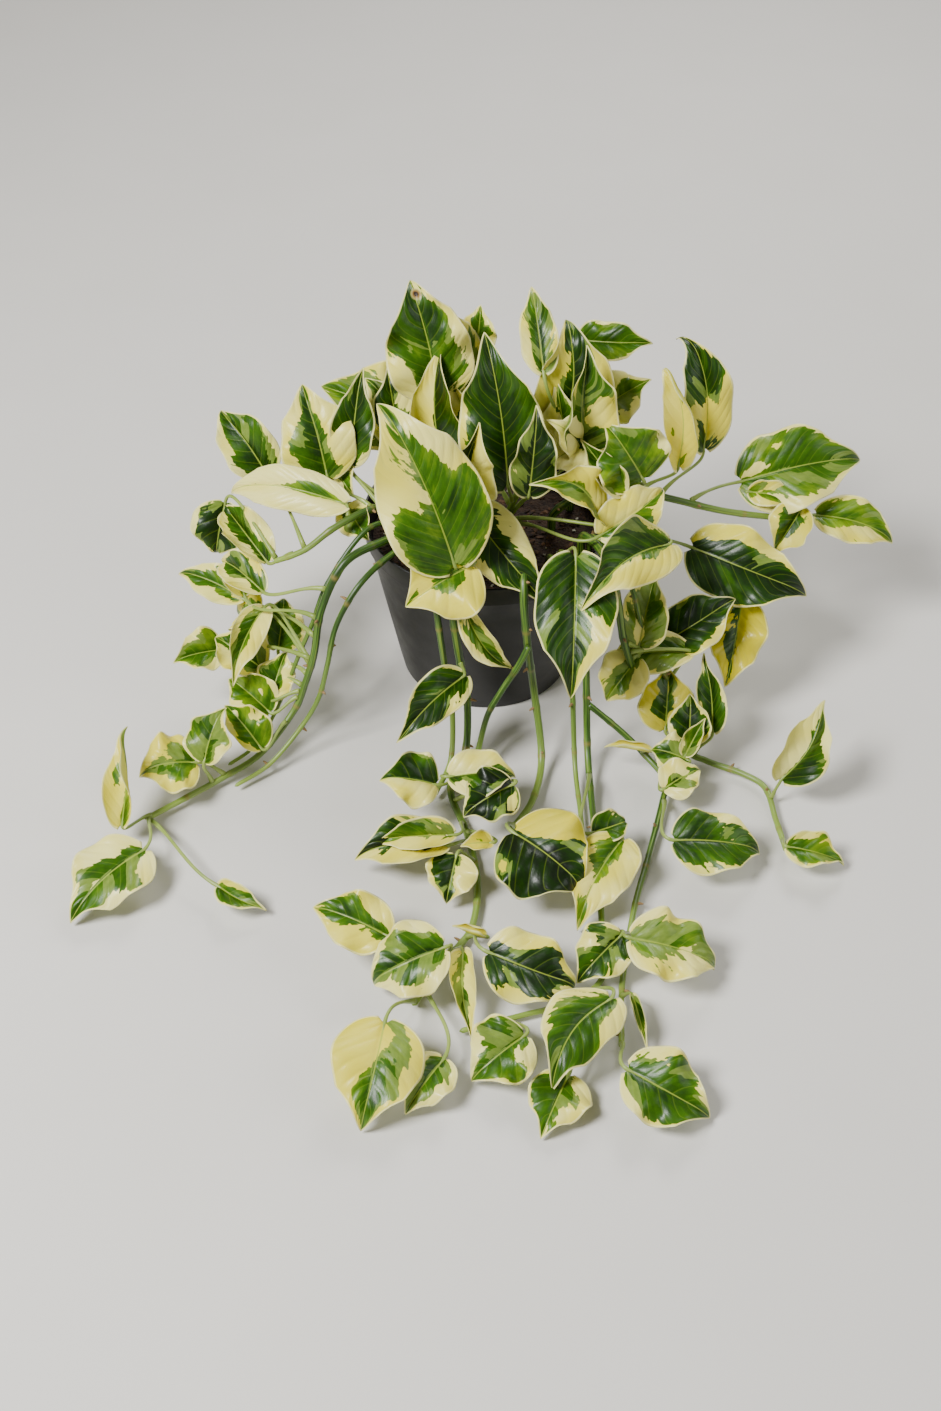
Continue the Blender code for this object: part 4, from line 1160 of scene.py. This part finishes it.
for number, row, look, form in (
    (1, ("stem_front_left", 1.9, (-19, -86, 142), (-62, -42, 228), 66, -6, 8, 0.08),
     (0.06, 0.66, 0.25, 0.46, 0.1, [
         (-0.68, 0.2, 0.3, 1.3), (-0.2, 0.12, 0.2, 0.5), (0.5, 0.2, 0.35, 0.5),
         (0.8, 0.66, 0.3, -0.7), (0, 0.92, 0.2, 0.5)]), (-28, -20, -10, 50, 0.02)),
    (3, ("stem_left_high", 2, (-96, 0, 140), (-112, 32, 188), 48, 6, 12, 0.06),
     (0.35, 0.2, 0.35, 0.6, 0.4, [
         (-0.25, 0.28, 0.33, 0.9), (0, 0.95, 0.15, 0.9), (0.7, 0.5, 0.4, -0.8)]),
     (-25, -40, 0, 40, 0.03)),
    (4, ("stem_crown_left", 0.9, (-36, 44, 152), (-103, 50, 174), 58, 0, 14, 0.1),
     (0.9, 0.5, 0.22, 0.3, 0.9, [
         (-0.2, 0.12, 0.16, 0.9), (0, 0.3, 0.2, -0.8), (0.2, 0.85, 0.35, 0.9)]),
     (-20, -25, 0, 35, -0.04)),
    (5, ("stem_left_high", 4, (-133, 10, 134), (-165, 40, 164), 38, 10, 18, 0.1),
     (0.8, 0.75, 0.12, 0.62, 0.4, [(-0.7, 0.6, 0.3, -0.9)]), (30, -40, 14, 40, 0.05)),
    (6, ("stem_left_high", 2.6, (-84, -24, 138), (-162, 8, 124), 30, 0, 16, 0.12),
     (-0.6, -0.2, 0, 0.3, 0.2, [(0.2, 0.22, 0.3, 1.1)]), (-50, -60, 14, 30, 0.06)),
    (8, ("stem_left", 3.6, (-134, -52, 94), (-166, -16, 90), 27, 5, 20, 0.12),
     (0.5, 0.5, 0.3, 0.6, 0.3, [(0, 0.8, 0.25, -0.5)]), (40, -50, 40, 50, 0.05)),
    (9, ("stem_left", 4.6, (-152, -20, 62), (-196, 0, 68), 25, 0, 14, 0.1),
     (0.6, 0.7, 0.3, 0.5, 0.2, [(0, 0.1, 0.3, -0.7)]), (-20, -30, 20, 30, 0.03)),
    (13, ("stem_left", 9, (-174, -124, 22), (-208, -136, 24), 44, 0, 12, 0.12),
     (0.35, 0.1, 0.6, 0.45, 0.9, [(-0.4, 0.35, 0.3, 0.8), (0.5, 0.2, 0.3, 0.6)]),
     (-25, -40, 10, 50, 0.03)),
    (14, ("stem_left", 10.9, (-212, -170, 17), (-215, -124, 56), 28, 30, 24, 0.06),
     (-0.2, 0.3, 0.5, 0.4, 0.3, [
         (0.2, 0.05, 0.25, 1.2), (-0.6, 0.5, 0.25, 0.8), (0, 0.95, 0.2, 0.9)]),
     (60, 30, 50, 40, 0.12)),
    (15, ("stem_left", 11, (-196, -192, 20), (-234, -234, 7), 44, 0, 10, 0.1),
     (0.85, 0.35, 0.1, 0.55, 0.6, [(-0.7, 0.1, 0.25, -1), (0.3, 0.5, 0.2, 0.5)]),
     (-25, -20, 0, 20, 0.03)),
):
    grow_leaf(f"left_blade_{number:02}", row, look, form, node=f"left_leaf_{number:02}")

for number, row, look, form in (
    (1, ("stem_left_high", 1.4, (-82, 6, 146), (-74, 28, 200), 28, 8, 16, 0.05),
     (1.1, 1.1, 0.3, 0.62, 0.1, []), (20, -30, 0, 25, 0)),
    (2, ("stem_left_high", 5, (-160, 4, 118), (-168, -8, 84), 38, 0, 16, 0.1),
     (0.95, 0.9, 0.15, 0.7, 0.5, []), (-40, -40, 10, 50, 0)),
    (3, ("stem_left", 5.4, (-140, -32, 62), (-158, -14, 42), 32, -5, 18, 0.1),
     (0.2, 0.6, 0.6, 0.4, 0.5, []), None),
    (4, ("stem_left", 6.2, (-137, -67, 46), (-168, -49, 58), 36, 0, 22, 0.1),
     (0.5, 0.7, 0.35, 0.5, 0.7, []), None),
    (5, ("stem_left", 7.3, (-136, -110, 20), (-159, -89, 38), 30, 0, 18, 0.1),
     (0.5, 0.9, 0.45, 0.4, 0.2, []), (50, -30, 20, 30, 0)),
    (6, ("stem_left_high", 4.4, (-132, -36, 104), (-163, 10, 114), 34, 0, 28, 0.08),
     (0.4, 0.7, 0.25, 0.6, 0.4, []), (50, -40, 30, 30, 0)),
    (7, ("stem_left", 5.8, (-128, -54, 50), (-124, -30, 74), 34, -10, 20, 0.08),
     (0.8, 0.7, 0.2, 0.45, 0.3, []), (-30, -40, 10, 50, 0)),
    (8, ("stem_left", 11, (-152, -212, 12), (-124, -226, 8), 18, 0, 22, 0.1),
     (0.5, 0.8, 0.4, 0.45, 0.4, []), (40, -20, 20, 10, 0.08)),
    (9, ("stem_left", 9.4, (-168, -127, 26), (-156, -104, 50), 33, 15, 18, 0.08),
     (0.9, 0.7, 0.3, 0.5, 0.95, []), (-20, -30, 0, 30, 0)),
    (10, ("stem_left_high", 1.7, (-94, 18, 140), (-80, -6, 130), 26, 0, 16, 0.1),
     (0.5, 0.5, 0.2, 0.5, 0.6, []), None),
    (11, ("stem_left", 4.2, (-148, -36, 78), (-158, -12, 96), 22, 10, 26, 0.08),
     (0.3, 0.6, 0.6, 0.3, 0.1, []), (40, -30, 20, 30, 0)),
    (12, ("stem_left", 5.2, (-163, -50, 46), (-193, -61, 46), 32, 0, 26, 0.1),
     (0.7, 0.8, 0.25, 0.4, 0.3, []), (-30, -30, 10, 30, 0)),
    (13, ("stem_left", 6.6, (-132, -89, 30), (-158, -72, 44), 34, 0, 20, 0.08),
     (0.7, 0.8, 0.3, 0.4, 0.3, []), (-40, 30, 20, 30, 0)),
    (14, ("stem_left_high", 1.5, (-84, -14, 128), (-70, -34, 118), 26, 0, 16, 0.1),
     (0.5, 0.5, 0.2, 0.5, 0.4, []), None),
    (15, ("stem_left", 5.3, (-136, -42, 72), (-153, -90, 53), 25, 0, 20, 0.1),
     (0.15, 0.7, 0.35, 0.5, 0.4, []), (-30, 30, 20, 40, 0.04)),
    (16, ("stem_left", 6.4, (-131, -83, 36), (-122, -58, 54), 26, 0, 18, 0.1),
     (0.7, 0.5, 0.4, 0.5, 0.4, []), (-30, -40, 10, 40, 0)),
):
    grow_leaf(f"left_young_{number:02}", row, look, form)


# ---------------------------------------------------------------------------------------------
# The front: leaves of the three vines that come down the pot's front and lie on the
# surface. Each lies nearly flat there, with its tip pointing away from the pot.
# ---------------------------------------------------------------------------------------------

for number, row, look, form in (
    (1, ("stem_front_left", 4.6, (-14, -96, 66), (-53, -136, 50), 30, 10, 16, 0.1),
     (0.9, 0.85, 0.3, 0.7, 0.1, []), (-35, -20, 12, 30, 0.04)),
    (2, ("stem_front_left", 7.4, (-30, -152, 32), (-64, -154, 40), 36, 0, 14, 0.12),
     (-0.2, 1.2, 0.3, 0.6, 0.2, []), (-55, -20, 14, 50, 0)),
    (3, ("stem_front_left", 8.3, (14, -156, 36), (-16, -172, 26), 36, 0, 12, 0.12),
     (1.15, 1.2, 0.25, 0.85, 0.4, [(-0.6, 0.15, 0.2, -0.9)]), (-30, -35, 0, 45, 0)),
    (4, ("stem_front_left", 9.2, (-24, -192, 24), (-78, -196, 18), 34, 0, 16, 0.1),
     (0.1, 1, 0.4, 0.75, 0.3, []), (40, -30, 30, 30, 0.05)),
    (5, ("stem_front_middle", 8, (14, -193, 36), (56, -226, 22), 64, 5, 6, 0.12),
     (0.9, 1.6, 0.8, 0.82, 0.2, [
         (0.75, 0.2, 0.2, -0.9), (-0.65, 0.28, 0.3, -2.2), (-0.25, 0.12, 0.2, -1.2)]),
     (-30, -45, 0, 70, 0)),
    (6, ("stem_front_right", 7.4, (76, -188, 24), (48, -243, 11), 40, 0, 12, 0.1),
     (0.2, 0.3, 0.4, 0.4, 0.4, [(0, 0.1, 0.25, 0.9)]), (-30, -40, 12, 50, 0.04)),
    (7, ("shoot_right", 6.4, (76, -264, 30), (127, -270, 12), 42, 5, 12, 0.12),
     (0.5, 0.45, 0.25, 0.42, 0.85, [(0, 0.5, 0.12, -0.7)]), (-35, -30, 8, 45, 0)),
    (9, ("stem_front_right", 9.4, (63, -304, 30), (30, -352, 18), 40, -5, 8, 0.12),
     (1, 0.9, 0.35, 0.48, 0.2, [(-0.8, 0.2, 0.25, -0.9)]), (-50, -35, 20, 40, 0.1)),
    (10, ("stem_front_right", 9.6, (40, -338, 10), (25, -372, 6), 34, 0, 8, 0.1),
     (0.5, 0.6, 0.25, 0.5, 0.3, [(-0.9, 0.3, 0.3, -0.5)]), (-25, -30, 0, 30, 0)),
    (11, ("shoot_right", 8, (70, -341, 20), (113, -361, 7), 44, 0, 10, 0.12),
     (0.75, 0.8, 0.25, 0.5, 0.35, [(-0.5, 0.35, 0.15, -0.4)]), (-35, -30, 0, 30, 0.03)),
    (12, ("stem_front_right", 11.3, (18, -320, 20), (-11, -340, 8), 40, 0, 10, 0.12),
     (0.75, 0.7, 0.2, 0.5, 0.6, []), (-30, -30, 0, 35, 0)),
    (13, ("stem_front_left", 11, (0, -272, 28), (52, -284, 13), 44, 0, 10, 0.12),
     (0.85, 0.7, 0.4, 0.8, 0.1, [(-0.75, 0.25, 0.25, -1.2), (-0.6, 0.8, 0.25, -0.8)]),
     (-35, -55, 14, 60, 0.05)),
    (14, ("stem_front_left", 11.8, (-24, -272, 32), (-66, -282, 13), 44, 0, 10, 0.12),
     (0.6, 0.75, 0.2, 0.55, 0.8, [(0, 0.5, 0.1, -0.6)]), (-35, -45, 10, 45, 0)),
    (15, ("stem_front_left", 12.2, (-54, -262, 29), (-97, -242, 31), 36, 5, 12, 0.1),
     (0.2, 0.75, 0.5, 0.5, 0.2, [(0.2, 0.95, 0.2, -0.8)]), (-30, -40, 10, 20, 0.02)),
    (16, ("stem_front_left", 13, (-54, -319, 30), (-66, -371, 8), 50, 0, 8, 0.12),
     (0.75, 0.15, 0.65, 0.42, 0.8, [(0, 0.1, 0.3, -1.4), (-0.1, 0.72, 0.4, 0.9)]),
     (-35, -30, 8, 40, -0.02)),
):
    grow_leaf(f"front_blade_{number:02}", row, look, form, node=f"front_leaf_{number:02}")

for number, row, look, form in (
    (1, ("stem_front_left", 8.8, (-20, -186, 26), (-67, -192, 28), 24, 10, 24, 0.1),
     (0.1, 0.6, 0.45, 0.5, 0.4, []), (40, -40, 40, 60, 0)),
    (2, ("stem_front_left", 9.6, (-18, -200, 24), (-24, -223, 8), 32, 0, 18, 0.1),
     (0.4, 0.7, 0.4, 0.8, 0.3, []), (-30, -40, 10, 40, 0)),
    (3, ("stem_front_right", 8, (72, -255, 22), (46, -279, 10), 34, 0, 14, 0.1),
     (0.7, 0.8, 0.3, 0.7, 0.3, []), (-30, -40, 10, 40, 0)),
    (4, ("stem_front_left", 11.6, (-14, -266, 20), (-9, -316, 10), 24, 0, 30, 0.06),
     (0.3, 0.5, 0.4, 0.5, 0.8, []), (50, 40, 20, 20, 0.05)),
    (5, ("stem_front_left", 12.6, (-24, -332, 16), (-44, -360, 8), 30, 0, 14, 0.1),
     (0.7, 0.8, 0.3, 0.5, 0.95, []), (-30, -40, 10, 40, 0)),
    (6, ("shoot_right", 7.2, (76, -290, 14), (82, -322, 10), 10, 0, 30, 0.06),
     (0.7, 0.7, 0.3, 0.5, 0.5, []), (60, 60, 0, 10, 0)),
    (7, ("stem_front_left", 7.8, (-22, -151, 38), (19, -146, 34), 32, 0, 16, 0.12),
     (-0.2, 0.9, 0.2, 0.6, 0.3, [(0, 0.75, 0.3, 1.2)]), (-40, -30, 10, 40, 0)),
    (8, ("stem_front_left", 2.2, (-14, -92, 116), (16, -98, 72), 21, 0, 26, 0.1),
     (0.5, 0.6, 0.25, 0.5, 0.3, []), (50, -50, 40, 20, 0.1)),
    (9, ("stem_front_left", 9, (2, -190, 24), (-16, -194, 26), 16, 0, 22, 0.1),
     (-0.3, -0.2, 0.8, 0.4, 0.2, []), (40, 40, 10, 30, 0)),
    (10, ("stem_front_right", 6.2, (60, -184, 26), (82, -172, 24), 22, 0, 16, 0.1),
     (1, 1, 0.3, 0.55, 0.1, []), None),
    (11, ("stem_front_left", 11.2, (-2, -256, 22), (-20, -252, 26), 13, 0, 40, 0.08),
     (-0.4, -0.3, 0.6, 0.3, 0.2, []), (90, 90, 0, 10, 0)),
):
    grow_leaf(f"front_young_{number:02}", row, look, form)


# ---------------------------------------------------------------------------------------------
# The right side: leaves of the two vines on the right and of their side shoot. Some have
# gone yellow with age, and the newest are still rolled.
# ---------------------------------------------------------------------------------------------

for number, row, look, form in (
    (1, ("stem_upper_right", 4.4, (158, 26, 118), (237, 38, 128), 56, 0, 10, 0.1),
     (1.05, 0.8, 0.2, 0.42, 0.55, [(-0.2, 0.1, 0.16, -1.5), (-0.6, 0.3, 0.1, -0.8)]),
     (-45, -25, 6, 35, -0.02)),
    (2, ("stem_upper_right", 7, (206, 18, 98), (258, 10, 82), 32, 0, 18, 0.12),
     (1, 0.6, 0.35, 0.3, 0.2, [(0.5, 0.45, 0.2, -0.7)]), (-50, -20, -14, 30, -0.05)),
    (3, ("stem_right", 1.7, (126, -12, 96), (200, -34, 76), 52, 0, 12, 0.12),
     (0.75, 1.1, 0.5, 0.72, 0.1, [(-0.8, 0.2, 0.25, -1.2), (0, 0.98, 0.15, -1)]),
     (-45, -30, 8, 35, 0.03)),
    (4, ("stem_front_right", 1.4, (50, -76, 140), (47, -138, 84), 50, 0, 16, 0.08),
     (0.75, 1.35, 0.3, 0.6, 0.4, [(-0.7, 0.75, 0.35, -1.2), (-0.55, 0.15, 0.22, 0.6)]),
     (-25, -35, 0, 35, 0)),
    (5, ("stem_right", 1.4, (106, -52, 130), (52, -112, 134), 42, -10, 14, 0.1),
     (-0.3, 0.9, 0.35, 0.55, 0.6, [(0.1, 0.16, 0.3, 0.9), (-0.2, 0.8, 0.25, 0.5)]),
     (-50, 30, 14, 50, 0.06)),
    (6, ("stem_right", 4.4, (107, -66, 66), (151, -48, 88), 38, 0, 14, 0.12),
     (1.1, 0.95, 0.45, 0.68, 0.1, [(0.95, 0.4, 0.3, -0.4)]), (-40, -30, 8, 35, 0.03)),
    (7, ("stem_right", 5.3, (157, -32, 70), (146, -72, 32), 38, 0, 14, 0.12),
     (-0.3, -0.1, 0.95, 0.7, 0.1, [(0.3, 0.55, 0.25, 0.9), (0.2, 0.05, 0.2, 0.8)]),
     (-30, -40, 10, 40, 0)),
    (8, ("stem_right", 9.4, (174, -136, 20), (198, -108, 60), 37, 5, 24, 0.08),
     (0.1, 0.95, 0.15, 0.62, 0.2, [(0.9, 0.5, 0.3, -0.4)]), (60, -30, 25, 30, 0.12)),
    (9, ("shoot_right", 4, (106, -188, 24), (160, -186, 12), 44, 0, 8, 0.12),
     (0.75, 0.85, 0.35, 0.62, 0.1, []), (-45, -30, 6, 35, 0)),
):
    grow_leaf(f"right_blade_{number:02}", row, look, form, node=f"right_leaf_{number:02}")

for number, row, look, form in (
    (1, ("stem_upper_right", 6, (162, 18, 116), (192, 16, 112), 20, 0, 20, 0.1),
     (0.5, 0.6, 0.5, 0.35, 0.2, []), None),
    (2, ("stem_upper_right", 6.2, (195, 12, 108), (177, -4, 84), 34, 0, 26, 0.1),
     (0.2, 0.7, 0.5, 0.6, 0.2, []), (40, -50, 20, 40, 0)),
    (3, ("stem_right", 4, (90, -80, 76), (100, -52, 112), 34, 10, 22, 0.08),
     (0.7, 0.8, 0.25, 0.32, 1, [(0, 0.12, 0.22, -1)]), (30, -40, 20, 40, 0)),
    (4, ("stem_right", 4.2, (121, -76, 66), (65, -78, 50), 30, 0, 22, 0.14),
     (0.5, 0.6, 0.2, 0.4, 0.75, []), (-40, 20, 40, 60, 0.08)),
    (5, ("stem_right", 4, (90, -80, 66), (70, -94, 42), 34, 0, 20, 0.1),
     (0.35, 0.6, 0.3, 0.3, 0.9, []), (-40, -40, 10, 40, 0)),
    (6, ("stem_right", 6.4, (136, -102, 26), (130, -70, 62), 22, 20, 22, 0.06),
     (0.8, 0.9, 0.25, 0.6, 0.3, []), (50, -30, 30, 20, 0.05)),
    (7, ("stem_right", 6, (108, -98, 24), (110, -70, 52), 38, 0, 18, 0.08),
     (0.2, 0.3, 0.75, 0.6, 0.2, [(-0.4, 0.25, 0.3, 1)]), (-30, -40, 10, 40, 0)),
    (8, ("shoot_right", 2, (98, -114, 22), (70, -108, 20), 12, 0, 36, 0.1),
     (-0.3, -0.2, 0.4, 0.4, 0.4, []), (100, 90, 0, 20, 0)),
    (9, ("shoot_right", 2.6, (120, -122, 22), (97, -114, 24), 28, 0, 16, 0.1),
     (0.8, 0.8, 0.2, 0.5, 0.95, []), (-30, -40, 10, 40, 0)),
    (10, ("stem_right", 10.7, (172, -184, 14), (206, -192, 8), 26, 0, 22, 0.1),
     (0.6, 0.7, 0.4, 0.4, 0.3, []), (30, -40, 30, 30, 0)),
    (11, ("stem_right", 6.2, (121, -110, 24), (122, -90, 48), 28, 0, 18, 0.1),
     (0.8, 0.7, 0.3, 0.7, 0.4, []), (-30, 20, 10, 40, 0)),
    (12, ("stem_right", 6.3, (118, -120, 24), (130, -106, 42), 16, 0, 24, 0.08),
     (0.8, 0.7, 0.3, 0.5, 0.9, []), (40, 30, 0, 20, 0)),
    (13, ("shoot_right", 2.8, (104, -142, 18), (128, -128, 22), 28, 0, 16, 0.1),
     (0.3, 0.6, 0.25, 0.5, 0.3, [(0, 0.3, 0.2, 0.9)]), (-30, -40, 10, 40, 0)),
    (14, ("stem_right", 4.4, (88, -74, 60), (117, -66, 54), 20, 0, 20, 0.1),
     (0.9, 0.8, 0.4, 0.3, 0.1, []), None),
):
    grow_leaf(f"right_young_{number:02}", row, look, form)
